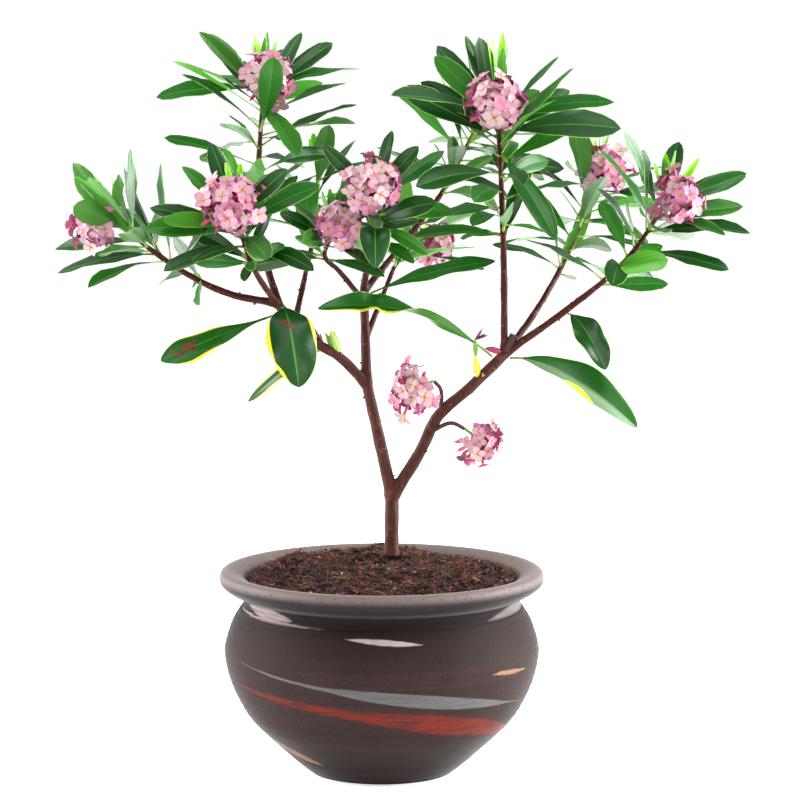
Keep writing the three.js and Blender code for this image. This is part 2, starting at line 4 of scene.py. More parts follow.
import bpy
import numpy as np
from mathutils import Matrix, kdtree

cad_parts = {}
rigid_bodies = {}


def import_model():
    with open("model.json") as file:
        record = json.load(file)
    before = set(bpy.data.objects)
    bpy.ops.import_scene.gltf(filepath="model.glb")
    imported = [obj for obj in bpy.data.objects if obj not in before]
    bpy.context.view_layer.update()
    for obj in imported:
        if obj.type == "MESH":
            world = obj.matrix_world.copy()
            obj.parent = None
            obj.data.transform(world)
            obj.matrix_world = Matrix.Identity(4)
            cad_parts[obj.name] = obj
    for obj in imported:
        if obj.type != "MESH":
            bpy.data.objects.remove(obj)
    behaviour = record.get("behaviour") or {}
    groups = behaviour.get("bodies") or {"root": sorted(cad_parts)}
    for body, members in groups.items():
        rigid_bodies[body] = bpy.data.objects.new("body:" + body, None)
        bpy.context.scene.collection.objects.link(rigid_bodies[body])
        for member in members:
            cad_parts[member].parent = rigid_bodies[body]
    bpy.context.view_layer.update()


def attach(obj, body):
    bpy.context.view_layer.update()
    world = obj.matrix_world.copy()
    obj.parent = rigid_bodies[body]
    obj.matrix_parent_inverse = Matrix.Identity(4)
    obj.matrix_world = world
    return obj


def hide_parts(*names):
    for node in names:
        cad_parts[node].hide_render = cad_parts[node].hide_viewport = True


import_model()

mm = 0.001
goldenAngle = math.pi * (3 - math.sqrt(5))
rightward = np.array([1.0, 0.0, 0.0])
backward = np.array([0.0, 1.0, 0.0])
upward = np.array([0.0, 0.0, 1.0])
lottery = {"scatter": 2654435761, "factor": 1664525, "step": 1013904223, "range": 2 ** 32}


# Small helpers

def tint(red, green, blue):  # a screen colour, 0 to 255, as linear light
    return [((part / 255 + 0.055) / 1.055) ** 2.4 for part in (red, green, blue)] + [1]


def mix(first, second, share):
    return first + (second - first) * share


def unit(vectors):
    return vectors / np.linalg.norm(vectors, axis=-1, keepdims=True)


def squareTo(vector, axis):  # the direction square to an axis that lies nearest a vector
    return unit(vector - axis * (vector @ axis))


def seeded(seed):  # one seed always gives the same draws
    state = [seed * lottery["scatter"] % lottery["range"]]

    def draw(low, high):
        state[0] = (state[0] * lottery["factor"] + lottery["step"]) % lottery["range"]
        return mix(low, high, state[0] / lottery["range"])
    return draw


def deselectAll():
    bpy.ops.object.select_all(action="DESELECT")


def keep(piece, slot, *nodes):  # rides on the one body and stands for CAD nodes, which it hides; slot is not used
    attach(piece, "root")
    if nodes:
        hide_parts(*nodes)


class Wire:  # one socket of a finish; sums on it add Math nodes
    def __init__(self, tree, socket):
        self.tree = tree
        self.socket = socket

    def node(self, kind, settings, values, output=0):
        made = self.tree.nodes.new(kind)
        for name, value in settings.items():
            setattr(made, name, value)
        for key, value in values.items():
            if isinstance(value, Wire):
                self.tree.links.new(value.socket, made.inputs[key])
            else:
                made.inputs[key].default_value = value
        return Wire(self.tree, made.outputs[output])

    def sum(self, operation, *terms):
        return self.node("ShaderNodeMath", {"operation": operation}, dict(enumerate(terms)))

    def __add__(self, other):
        return self.sum("ADD", self, other)

    def __sub__(self, other):
        return self.sum("SUBTRACT", self, other)

    def __rsub__(self, other):
        return self.sum("SUBTRACT", other, self)

    def __mul__(self, other):
        return self.sum("MULTIPLY", self, other)

    def step(self, low, high, first=0.0, last=1.0):  # a soft step between two values
        settings = {"interpolation_type": "SMOOTHSTEP"}
        return self.node("ShaderNodeMapRange", settings, {0: self, 1: low, 2: high, 3: first, 4: last})

    def blend(self, first, second):  # this wire picks between two colours
        return self.node("ShaderNodeMix", {"data_type": "RGBA"}, {0: self, 6: first, 7: second}, 2)

    def grain(self, scale, detail=3.0):  # noise at the point that this wire carries
        return self.node("ShaderNodeTexNoise", {}, {"Vector": self, "Scale": scale, "Detail": detail})

    def parts(self):
        return [self.node("ShaderNodeSeparateXYZ", {}, {0: self}, axis) for axis in range(3)]

    def joined(self, *axes):
        return self.node("ShaderNodeCombineXYZ", {}, dict(enumerate(axes)))

    def drawnOut(self, wide, tall, detail):  # noise with its own scale across and up the object
        across, away, height = self.parts()
        return self.joined(across * wide, away * wide, height * tall).grain(1.0, detail)

    def into(self, name):  # feeds the finish's shader
        self.tree.links.new(self.socket, self.tree.nodes["Principled BSDF"].inputs[name])

    def bump(self, strength, depth):
        values = {"Height": self, "Strength": strength, "Distance": depth}
        self.node("ShaderNodeBump", {}, values).into("Normal")


def newFinish(name, colour, roughness, shine=0.5):
    finish = bpy.data.materials.new(name)
    finish.use_nodes = True
    inputs = finish.node_tree.nodes["Principled BSDF"].inputs
    inputs["Base Color"].default_value = tint(*colour)
    inputs["Roughness"].default_value = roughness
    inputs["Specular IOR Level"].default_value = shine
    return finish


def finishSet(prefix, tints, roughness, shine=0.5):
    return [newFinish(prefix + name, colour, roughness, shine) for name, colour in tints.items()]


def slotsOf(tints):  # where each tint stands among the finishes of its mesh
    return {name: index for index, name in enumerate(tints)}


def surfacePoint(finish):  # the Object coordinates of a finish, as a wire
    start = Wire(finish.node_tree, None)
    return start.node("ShaderNodeTexCoord", {}, {}, "Object")


def ringFaces(rows, count):  # the faces between each ring of points and the next
    faces = []
    for row in range(rows):
        low, high = row * count, (row + 1) * count
        for index in range(count):
            after = (index + 1) % count
            faces.append([low + index, high + index, high + after, low + after])
    return faces


class Heap:  # gathers many small things for one joined mesh, in millimetres
    def __init__(self):
        self.points = []
        self.faces = []
        self.slots = []
        self.count = 0

    def add(self, points, faces, slots):
        self.points.append(np.asarray(points, float))
        self.faces.extend([[corner + self.count for corner in face] for face in faces])
        self.slots.extend(slots)
        self.count += len(points)

    def build(self, name, finishes, smoothAngle=None):
        mesh = bpy.data.meshes.new(name)
        mesh.from_pydata(np.concatenate(self.points) * mm, [], self.faces)
        for finish in finishes:
            mesh.materials.append(finish)
        mesh.polygons.foreach_set("material_index", self.slots)
        piece = bpy.data.objects.new(name, mesh)
        bpy.context.scene.collection.objects.link(piece)
        deselectAll()
        piece.select_set(True)
        bpy.context.view_layer.objects.active = piece
        if smoothAngle:
            bpy.ops.object.shade_smooth_by_angle(angle=math.radians(smoothAngle))
        return piece


# Camera, light and floor

view = {"place": (0.0137, -2.7, 0.62), "down": 7.15, "lens": 163.7}
studio = {"sky": 0.5, "floor": (248, 248, 248), "roughness": 0.9, "glow": 0.56, "width": 160,
          "aimHeight": 0.3}
lamps = [
    {"name": "leftLamp", "place": (-2.0, 0.4, 0.9), "size": 1.8, "power": 105},
    {"name": "rightLamp", "place": (2.1, 0.3, 0.9), "size": 1.8, "power": 165},
    {"name": "topLamp", "place": (0.1, -1.4, 2.2), "size": 1.2, "power": 28},
]


def makeStudio():
    camera = bpy.data.objects.new("camera", bpy.data.cameras.new("camera"))
    camera.location = view["place"]
    camera.rotation_euler = (math.radians(90 - view["down"]), 0, 0)
    camera.data.lens = view["lens"]
    bpy.context.scene.collection.objects.link(camera)
    bpy.context.scene.camera = camera
    bpy.context.scene.view_settings.view_transform = "Standard"
    world = bpy.data.worlds.new("studio")
    world.use_nodes = True
    world.node_tree.nodes["Background"].inputs["Color"].default_value = (1, 1, 1, 1)
    world.node_tree.nodes["Background"].inputs["Strength"].default_value = studio["sky"]
    bpy.context.scene.world = world
    for plan in lamps:
        deselectAll()
        bpy.ops.object.light_add(type="AREA", location=plan["place"])
        lamp = bpy.context.object
        lamp.name = plan["name"]
        lamp.data.energy = plan["power"]
        lamp.data.size = plan["size"]
        aim = -lamp.location
        aim.z += studio["aimHeight"]
        lamp.rotation_euler = aim.to_track_quat("-Z", "Y").to_euler()


def makeFloor():
    deselectAll()
    bpy.ops.mesh.primitive_plane_add(size=studio["width"], location=(0, 0, 0))
    floor = bpy.context.object
    floor.name = "floor"
    paleFloor = newFinish("paleFloor", studio["floor"], studio["roughness"])
    lit = paleFloor.node_tree.nodes["Principled BSDF"].inputs
    lit["Emission Color"].default_value = (1, 1, 1, 1)
    lit["Emission Strength"].default_value = studio["glow"]
    floor.data.materials.append(paleFloor)


makeStudio()
makeFloor()
print("studio ready")


# The growth rule: limbs, leaves and heads of blossom, in millimetres

limb = {"flare": 0.9, "flareHeight": 6, "markStep": 4}
trunk = {"name": "trunk", "foot": (7.3, 0, 163.1), "fork": (7.7, 0, 208), "girth": (5.3, 5.6)}

stems = [
    {"name": "left_stem", "parent": "trunk", "at": 1, "girth": (5, 4.3),
     "via": [(-2.8, 0, 256), (-11.2, 0, 293.4)]},
    {"name": "right_stem", "parent": "trunk", "at": 1, "girth": (4.9, 4.1),
     "via": [(28.5, -2, 242), (42.5, -4, 270), (65, -6, 290.5), (93.3, -8, 318.3)]},
    {"name": "left_bough", "parent": "left_stem", "at": 1, "girth": (4.1, 3.4),
     "via": [(-33, -9, 316), (-49, -14, 326), (-77.9, -25, 356.6)]},
    {"name": "middle_stem", "parent": "left_stem", "at": 1, "girth": (4.1, 3.3),
     "via": [(-12.4, 4, 333), (-13.2, 8, 366)]},
]

# each shoot is a bare bough up to the share named bare, and leafy beyond it; far holds its furthest tips
shoots = [
    {"name": "far_left", "parent": "left_bough", "at": 1, "girth": (3.1, 1.7),
     "via": [(-112, -31, 364), (-146, -36, 381), (-193, -42, 416)],
     "bare": 0.4, "leaves": 11, "size": 0.95, "tuft": 36, "turn": 4.5, "seed": 111,
     "head": {"face": (-0.9, -0.35, -0.1), "radius": 18},
     "far": [(-239, -30, 379), (-222, -70, 453), (-190, -20, 457), (-160, -60, 462)]},
    {"name": "upper_left", "parent": "left_bough", "at": 0.96, "girth": (3, 1.8),
     "via": [(-88, 0, 393), (-93, 28, 432), (-89.7, 65, 513)],
     "bare": 0.42, "leaves": 20, "size": 1, "tuft": 36, "turn": 0.2, "seed": 12,
     "head": {"face": (0.2, -0.85, 0.35), "radius": 21},
     "far": [(-153, 30, 533), (-172, 75, 504), (-17, 90, 525), (-18, 40, 500), (-133, 95, 548),
             (-62, 97, 553), (-62, -10, 464)]},
    {"name": "front_left", "parent": "left_bough", "at": 1, "girth": (2.7, 1.7),
     "via": [(-93.5, -50, 385), (-105, -72, 425)],
     "bare": 0.48, "leaves": 12, "size": 0.9, "tuft": 38, "turn": 2.4, "seed": 53,
     "head": {"face": (-0.2, -0.85, 0.35), "radius": 23},
     "far": [(-167, -80, 431), (-124, -60, 477), (-134, -120, 395), (-89, -120, 391)]},
    {"name": "inner_left", "parent": "left_bough", "at": 0.78, "girth": (2.5, 1.6),
     "via": [(-57, 12, 375), (-51, 40, 405), (-48.8, 75, 447)],
     "bare": 0.52, "leaves": 11, "size": 0.85, "turn": 0.3, "seed": 24,
     "far": [(-19, 110, 471), (-74, 40, 426)]},
    {"name": "centre_left", "parent": "middle_stem", "at": 0.84, "girth": (2.5, 1.6),
     "via": [(-32, -5, 379), (-42, -13, 390), (-36, -27, 408)],
     "bare": 0.6, "leaves": 8, "size": 0.8, "turn": 0.9, "seed": 15,
     "head": {"face": (0.35, -0.8, 0.4), "radius": 19},
     "far": [(-87, -50, 389), (-57, -80, 408)]},
    {"name": "centre", "parent": "middle_stem", "at": 1, "girth": (2.7, 1.7),
     "via": [(-9, -17, 393), (-5.2, -42, 438)],
     "bare": 0.5, "leaves": 11, "size": 0.8, "turn": 4.5, "seed": 86,
     "head": {"face": (0, -0.85, 0.4), "radius": 22},
     "far": [(-5, -95, 387), (40, -70, 434), (26, -20, 468)]},
    {"name": "upper_right", "parent": "middle_stem", "at": 0.95, "girth": (2.8, 1.6),
     "via": [(16, 35, 396), (44, 60, 430), (71, 92, 478)],
     "bare": 0.6, "leaves": 13, "size": 0.95, "turn": 1, "seed": 47,
     "far": [(45, 130, 519), (126, 120, 438)]},
    {"name": "back", "parent": "middle_stem", "at": 0.45, "girth": (2.5, 1.5),
     "via": [(2, 30, 360), (12, 60, 380), (25, 84, 391)],
     "bare": 0.64, "leaves": 9, "size": 0.82, "turn": 0.3, "seed": 28,
     "head": {"face": (0.8, 0.1, 0), "radius": 17},
     "far": [(76, 120, 413)]},
    {"name": "right_upright", "parent": "right_stem", "at": 0.98, "girth": (3.1, 1.8),
     "via": [(91, -9, 365), (90, -9, 410), (86, -9, 495)],
     "bare": 0.46, "leaves": 20, "size": 1.03, "tuft": 60, "turn": 0.3, "seed": 29,
     "head": {"face": (-0.05, -0.85, 0.4), "radius": 23},
     "far": [(41, 10, 545), (7, -60, 511), (141, -30, 530), (172, -10, 504), (174, -60, 487),
             (72, 14, 551), (25, -60, 445), (128, -50, 405)]},
    {"name": "right_back", "parent": "right_stem", "at": 1, "girth": (2.9, 1.6),
     "via": [(116, 16, 347), (139, 48, 383), (164, 86, 436)],
     "bare": 0.48, "leaves": 14, "size": 0.95, "tuft": 40, "turn": 3.1, "seed": 100,
     "head": {"face": (0.25, -0.6, 0.6), "radius": 20},
     "far": [(124, 60, 425), (104, 110, 434), (147, 90, 386)]},
    {"name": "far_right", "parent": "right_stem", "at": 1, "girth": (3.1, 1.7),
     "via": [(137, -20, 351), (179, -32, 388), (208, -39, 430)],
     "bare": 0.52, "leaves": 13, "size": 0.95, "tuft": 40, "turn": 4.5, "seed": 91,
     "head": {"face": (0.45, -0.8, 0.3), "radius": 20},
     "far": [(270, -5, 449), (270, -48, 410), (207, -88, 394), (188, -80, 473)]},
]

lowTwigs = [
    {"name": "low_blossom_left", "parent": "right_stem", "at": 0.52, "girth": (1.5, 1.2),
     "via": [(44, -11, 291), (39, -13, 297)],
     "head": {"face": (-0.85, -0.4, -0.3), "radius": 18, "fuller": 1.14}},
    {"name": "low_blossom_right", "parent": "right_stem", "at": 0.4, "girth": (1.6, 1.2),
     "via": [(52, -8, 265), (62, -11, 261)],
     "head": {"face": (0.74, -0.4, -0.52), "radius": 17, "spread": 0.7, "fuller": 1.14}},
]

# gold: side, start, end and depth of a yellow margin; blotches: share, column, length and width of brown
# marks; twists: turns along the blade; slimTo: where a narrow foot ends; sheen: the half painted paler, a
# painted reflection
loneLeaves = [
    {"name": "leaf_left_broad", "limb": "left_bough", "at": 0.95, "tip": (-60, -66, 299),
     "arch": 28, "half": 19, "roll": 0.1, "tint": "deep", "fold": 0.12,
     "gold": [(1, 0.42, 0.84, 0.13), (1, 0.84, 0.98, 0.16), (-1, 0.4, 0.7, 0.1)],
     "blotches": [(0.43, 0.3, 0.035, 0.14), (0.47, 0.13, 0.04, 0.17), (0.51, -0.06, 0.035, 0.15)]},
    {"name": "leaf_left_spotted", "limb": "left_bough", "at": 0.9, "tip": (-162, -45, 316),
     "arch": 3, "half": 12.5, "roll": -0.9, "tint": "mid", "fold": 0.16, "slimTo": 0.82,
     "gold": [(1, 0.4, 0.85, 0.16), (-1, 0.55, 0.9, 0.12)],
     "blotches": [(0.8, 0.1, 0.05, 0.26), (0.75, -0.3, 0.03, 0.14), (0.86, -0.16, 0.035, 0.2),
                  (0.73, 0.36, 0.025, 0.14), (0.91, 0.3, 0.02, 0.2)]},
    {"name": "leaf_left_small", "limb": "left_bough", "at": 0.45, "tip": (-100, 10, 279),
     "arch": 10, "half": 5.5, "roll": -0.4, "tint": "dusk", "fold": 0.3,
     "gold": [(1, 0.35, 1, 0.4), (-1, 0.5, 1, 0.2)], "twists": ((0, 1), (-0.5, -0.9))},
    {"name": "leaf_middle_long", "limb": "right_stem", "at": 0.93, "tip": (-46.5, -40, 354),
     "arch": 34, "half": 9.5, "roll": -0.8, "tint": "mid", "fold": 0.62,
     "gold": [(-1, 0.3, 1.1, 0.24)],
     "twists": ((0, 0.3, 0.6, 0.66, 0.72, 0.78, 1), (1.9, 1.9, 0.1, 0, 0.5, 0, 0))},
    {"name": "leaf_centre_front", "limb": "centre", "at": 0.42, "tip": (-4, -80, 387.5),
     "arch": 48, "swing": 40, "half": 11.5, "roll": 0, "tint": "deep", "fold": 0.14},
    {"name": "leaf_centre_right", "limb": "middle_stem", "at": 0.9, "tip": (84, -18, 387),
     "arch": 8, "half": 8.5, "roll": 0.7, "tint": "mid", "fold": 0.4},
    # its paler half is a painted reflection
    {"name": "leaf_right_long", "limb": "right_stem", "at": 0.95, "tip": (188, -48, 267),
     "arch": 26, "half": 12.5, "roll": 0.7, "tint": "mid", "fold": 0.7,
     "gold": [(1, 0.52, 0.76, 0.3)], "sheen": 1},
    {"name": "leaf_right_low", "limb": "far_right", "at": 0.32, "tip": (164, -58, 311),
     "arch": 16, "half": 11, "roll": 0.4, "tint": "deep", "fold": 0.6},
]
# leaves that stand before a head of blossom
nearLeaves = [
    {"limb": "upper_left", "at": 0.8, "tip": (-80.3, 6, 537), "swing": 34, "arch": -4, "half": 12.5,
     "tint": "fresh"},
    {"limb": "inner_left", "at": 0.9, "tip": (-57.2, 2, 401), "swing": 14, "arch": 26, "half": 11.5,
     "tint": "fresh"},
]

leafRule = {"longest": 79, "slimness": 0.14, "stalk": 0.1, "stalkHalf": 0.9, "rise": 1.1, "fall": 0.65,
            "widest": 0.315, "sink": 0.2, "archAt": 0.45, "footLength": 1, "gap": 0.3}
growth = {"topShare": 0.985, "lowShare": 0.08, "crowding": 1.5, "jitter": (-0.25, 0.25),
          "opening": (0.58, 1.55), "openingPower": 0.7, "openingSpread": (0.85, 1.15),
          "fullness": (0.78, 1), "fullnessPhase": (0.1, 0.85), "lengthSpread": (0.86, 1.08),
          "halfSpread": (0.88, 1.2), "bend": (0.1, 0.55), "bendSpread": (0.4, 1.4), "tilt": (0, 0.9),
          "lowestRise": 0, "centre": 0.7, "reach": 110}
young = {"count": 3, "length": 42, "lengthSpread": (0.8, 1.2), "half": 3.6, "angle": 0.22}
far = {"shares": (0.1, 0.25, 0.4, 0.55, 0.7, 0.85, 0.97), "halfSpread": (0.95, 1.2), "tilt": (0.2, 0.9),
       "bow": 0.1, "low": 0.6, "missedBy": 1, "seedStep": 1000}
turns = (0, 0.45, -0.45, 0.9, -0.9, 1.35, -1.35)
clear = {"leaf": 6, "own": 2.2, "limb": 3.6, "head": 3, "ownHead": 0.9, "ownPart": 0.4, "farOff": 126.4}
closer = dict(clear, leaf=2, own=0.9, limb=2, head=1, ownHead=0.8)
finer = {"count": 7, "share": (0, 0.96), "opening": (0.4, 1.5), "size": (0.36, 0.85),
         "halfSpread": (0.9, 1.25), "bend": (0, 0.6), "around": 1.2, "open": 0.8, "seedStep": 2000}
tuft = {"count": 5, "length": 33, "lengthSpread": (0.78, 1.05), "half": 4.2, "lean": (0.06, 0.3),
        "seedStep": 3000}
spots = {"along": 12, "across": (-1, -0.5, 0, 0.5, 1)}
headOffset = 0.95


class Line:  # a smooth line through points, walked by its length
    def __init__(self, points, marks=201):
        self.points = np.array(points, float)
        self.marks = np.linspace(0, 1, marks)
        steps = np.linalg.norm(np.diff([self.spot(mark) for mark in self.marks], axis=0), axis=1)
        self.lengths = np.concatenate([[0], np.cumsum(steps)])
        self.length = self.lengths[-1]

    def spot(self, mark):
        last = len(self.points) - 1
        index = min(int(last * mark), last - 1)
        weight = last * mark - index
        start, end = self.points[index], self.points[index + 1]
        before = self.points[index - 1] if index > 0 else 2 * start - end
        after = self.points[index + 2] if index + 2 <= last else 2 * end - start
        gaps = [np.linalg.norm(b - a) ** 0.5 for a, b in ((before, start), (start, end), (end, after))]
        leave = (start - before) / gaps[0] - (end - before) / (gaps[0] + gaps[1]) + (end - start) / gaps[1]
        arrive = (end - start) / gaps[1] - (after - start) / (gaps[1] + gaps[2]) + (after - end) / gaps[2]
        leave = leave * gaps[1]
        arrive = arrive * gaps[1]
        square = -3 * start + 3 * end - 2 * leave - arrive
        cube = 2 * start - 2 * end + leave + arrive
        return start + leave * weight + square * weight ** 2 + cube * weight ** 3

    def mark(self, share):
        return float(np.interp(share * self.length, self.lengths, self.marks))

    def point(self, share):
        return self.spot(self.mark(share))

    def heading(self, share, reach=1e-4):
        mark = self.mark(share)
        return unit(self.spot(min(mark + reach, 1)) - self.spot(max(mark - reach, 0)))


def girthAt(plan, share):
    return mix(plan["girth"][0], plan["girth"][1], share)


def turnedAbout(vectors, axes, angle):  # each vector turned about its axis
    dots = np.sum(vectors * axes, axis=-1, keepdims=True)
    swung = vectors * np.cos(angle) + np.cross(axes, vectors) * np.sin(angle)
    return swung + axes * dots * (1 - np.cos(angle))


def sideways(axis, around):  # a direction square to an axis, at an angle round it
    right = squareTo(rightward, axis)
    return right * math.cos(around) + np.cross(axis, right) * math.sin(around)


def tipped(axis, out, angle):  # an axis leaned over by an angle towards a direction square to it
    return axis * math.cos(angle) + out * math.sin(angle)


def bladeShare(along):
    blade = np.clip((along - leafRule["stalk"]) / (1 - leafRule["stalk"]), 0, 1)
    return blade ** leafRule["rise"] * (1 - blade) ** leafRule["fall"] / leafRule["widest"]


def bezier(points, along):
    along = along[:, None]
    return points[0] * (1 - along) ** 2 + points[1] * 2 * along * (1 - along) + points[2] * along ** 2


def leafFrame(leaf, along, step=1e-4):  # middle line, forward, upper face and side at shares of its length
    ahead = bezier(leaf["points"], np.minimum(along + step, 1))
    forward = unit(ahead - bezier(leaf["points"], np.maximum(along - step, 0)))
    face = leaf["axis"] * (forward @ leaf["outward"])[:, None]
    face = face - leaf["outward"] * (forward @ leaf["axis"])[:, None]
    face = unit(face - forward * np.sum(face * forward, axis=1, keepdims=True))
    face = turnedAbout(face, forward, leaf["roll"])
    return bezier(leaf["points"], along), forward, face, np.cross(forward, face)


def leafHalf(leaf, along):
    return np.maximum(leaf["half"] * bladeShare(along), np.where(along < 1, leafRule["stalkHalf"], 0))


def leafSpots(leaf):
    along = np.arange(1, spots["along"] + 1) / spots["along"]
    middle, _, _, side = leafFrame(leaf, along)
    half = leafHalf(leaf, along)[:, None]
    points = np.stack([middle + side * half * across for across in spots["across"]], axis=1)
    return np.repeat(along, len(spots["across"])), points.reshape(-1, 3)


def bentLine(start, direction, bend, length):
    middle = start + direction * length / 2
    axis = unit(np.cross(direction, upward))
    onward = turnedAbout(direction, axis, -bend)
    return np.array([start, middle, middle + onward * length / 2])


def bowedLine(start, tip, arch):
    return np.array([start, mix(start, tip, leafRule["archAt"]) + upward * arch, tip])


class Plant:  # lays the limbs and heads, then grows the leaves clear of them and of one another
    def __init__(self):
        self.lines = {"trunk": Line([trunk["foot"], trunk["fork"]])}
        self.plans = {"trunk": trunk}
        self.heads = []
        self.grown = []
        self.clear = clear
        self.frontsOpen = False
        for plan in stems + shoots + lowTwigs:
            root = self.lines[plan["parent"]].point(plan["at"])
            self.lines[plan["name"]] = Line([root] + plan["via"])
            self.plans[plan["name"]] = plan
            if "head" in plan:
                self.layHead(plan)
        self.markLimbs()

    def layHead(self, plan):
        face = unit(np.array(plan["head"]["face"], float))
        radius = plan["head"]["radius"]
        centre = self.lines[plan["name"]].point(1) + face * radius * headOffset
        self.heads.append(dict(plan["head"], name=plan["name"], face=face, centre=centre))

    def markLimbs(self):
        marks = []
        for name, line in self.lines.items():
            count = math.ceil(line.length / limb["markStep"])
            for share in np.arange(count + 1) / count:
                marks.append((name, share, line.point(share), girthAt(self.plans[name], share)))
        self.markNames = np.array([mark[0] for mark in marks])
        self.markShares = np.array([mark[1] for mark in marks])
        self.markPoints = np.array([mark[2] for mark in marks])
        self.markRadii = np.array([mark[3] for mark in marks])

    def touchesLimb(self, points, name, bare):
        others = ~((self.markNames == name) & (self.markShares > bare))
        gaps = np.linalg.norm(points[:, None] - self.markPoints[others][None], axis=2)
        return bool((gaps < self.markRadii[others] + self.clear["limb"]).any())

    def touchesHead(self, along, points, name):
        for head in self.heads:
            gaps = np.linalg.norm(points - head["centre"], axis=1)
            if head["name"] == name:
                touching = (gaps < head["radius"] * self.clear["ownHead"]) & (along >= self.clear["ownPart"])
            else:
                touching = gaps < head["radius"] + self.clear["head"]
            if touching.any():
                return True
        return False

    def touchesLeaf(self, leaf, along, points, name):
        for other in self.grown:
            if np.linalg.norm(other["middle"] - leaf["points"][2]) > self.clear["farOff"]:
                continue
            own = other["name"] == name
            tested = points[along >= self.clear["ownPart"]] if own else points
            gaps = np.linalg.norm(tested[:, None] - other["spots"][None], axis=2)
            if (gaps < self.clear["own" if own else "leaf"]).any():
                return True
        return False

    def hidesHead(self, points):  # seen from the front
        for head in self.heads:
            away = points - head["centre"]
            if ((np.hypot(away[:, 0], away[:, 2]) < head["radius"] * finer["open"]) & (away[:, 1] < 0)).any():
                return True
        return False

    def register(self, leaf, name):
        self.grown.append({"name": name, "spots": leafSpots(leaf)[1], "middle": leaf["points"][1]})

    def fits(self, leaf, name, centre, bare):
        if np.linalg.norm(leaf["points"][2] - centre) > growth["reach"]:
            return False
        along, points = leafSpots(leaf)
        if self.touchesLimb(points, name, bare) or self.touchesHead(along, points, name):
            return False
        if self.touchesLeaf(leaf, along, points, name) or (self.frontsOpen and self.hidesHead(points)):
            return False
        self.register(leaf, name)
        return True

    def farLeaves(self, plan, tips):
        line = self.lines[plan["name"]]
        draw = seeded(plan["seed"] + far["seedStep"])
        wanted = leafRule["longest"] * plan["size"]
        leaves = []
        for tip in np.array(tips, float):
            shares = [mix(plan["bare"], 1, step) for step in far["shares"]]
            misfits = [abs(np.linalg.norm(line.point(share) - tip) - wanted) for share in shares]
            share = shares[int(np.argmin(misfits))]
            axis = line.heading(share)
            away = tip - line.point(share)
            outward = squareTo(away, axis)
            start = line.point(share) + outward * girthAt(plan, share) * leafRule["sink"]
            length = np.linalg.norm(tip - start)
            half = length * leafRule["slimness"] * draw(*far["halfSpread"])
            leaf = {"points": bowedLine(start, tip, far["bow"] * length), "half": half, "axis": axis,
                    "roll": outward[0] * draw(*far["tilt"]), "outward": outward, "low": far["low"]}
            if self.fits(leaf, plan["name"], tip, plan["bare"]):
                leaves.append(leaf)
        return leaves

    def placeLeaf(self, plan, share, around, angle, bend, tilt, leaf):  # turned until it has room
        line = self.lines[plan["name"]]
        centre = line.point(mix(plan["bare"], 1, growth["centre"]))
        axis = line.heading(share)
        for turn in turns:
            outward = sideways(axis, around + turn)
            direction = tipped(axis, outward, angle)
            direction[2] = max(direction[2], growth["lowestRise"])
            start = line.point(share) + outward * girthAt(plan, share) * leafRule["sink"]
            points = bentLine(start, unit(direction), bend, leaf["length"])
            tried = dict(leaf, points=points, roll=outward[0] * tilt, axis=axis, outward=outward)
            if self.fits(tried, plan["name"], centre, plan["bare"]):
                return [tried]
        return []

    def ownLeaves(self, plan):
        draw = seeded(plan["seed"])
        lowShare = mix(plan["bare"], 1, growth["lowShare"])
        leaves = []
        for index in range(plan["leaves"] + young["count"]):
            isYoung = index < young["count"]
            low = 0 if isYoung else (index - young["count"]) / (plan["leaves"] - 1)
            share = mix(growth["topShare"], lowShare, low ** growth["crowding"])
            around = plan["turn"] + index * goldenAngle + draw(*growth["jitter"])
            opening = young["angle"] if isYoung else mix(*growth["opening"], low ** growth["openingPower"])
            angle = opening * draw(*growth["openingSpread"])
            fullness = mix(*growth["fullness"], math.sin(math.pi * mix(*growth["fullnessPhase"], low)))
            fullLength = young["length"] if isYoung else leafRule["longest"] * plan["size"] * fullness
            length = fullLength * draw(*(young if isYoung else growth)["lengthSpread"])
            half = young["half"] if isYoung else length * leafRule["slimness"] * draw(*growth["halfSpread"])
            bend = 0 if isYoung else mix(*growth["bend"], low) * draw(*growth["bendSpread"])
            leaf = {"length": length, "half": half, "low": low, "young": isYoung}
            leaves += self.placeLeaf(plan, share, around, angle, bend, draw(*growth["tilt"]), leaf)
        return leaves

    def finerLeaves(self, plan):  # smaller leaves that fill in between
        draw = seeded(plan["seed"] + finer["seedStep"])
        leaves = []
        for index in range(finer["count"]):
            share = mix(plan["bare"], 1, draw(*finer["share"]))
            around = plan["turn"] + finer["around"] + index * goldenAngle
            angle = draw(*finer["opening"])
            length = leafRule["longest"] * plan["size"] * draw(*finer["size"])
            half = length * leafRule["slimness"] * draw(*finer["halfSpread"])
            leaf = {"length": length, "half": half, "low": draw(0, 1)}
            bend = draw(*finer["bend"])
            leaves += self.placeLeaf(plan, share, around, angle, bend, draw(*growth["tilt"]), leaf)
        return leaves

    def tuftLeaves(self, plan):  # young leaves that stand up at the end of a shoot
        draw = seeded(plan["seed"] + tuft["seedStep"])
        root = self.lines[plan["name"]].point(1)
        leaves = []
        for index in range(tuft["count"]):
            outward = sideways(upward, plan["turn"] + index * goldenAngle)
            direction = unit(upward + outward * draw(*tuft["lean"]))
            length = plan.get("tuft", tuft["length"]) * draw(*tuft["lengthSpread"])
            leaves.append({"points": bentLine(root, direction, 0, length), "half": tuft["half"], "roll": 0,
                           "axis": upward, "outward": outward, "young": True})
        return leaves

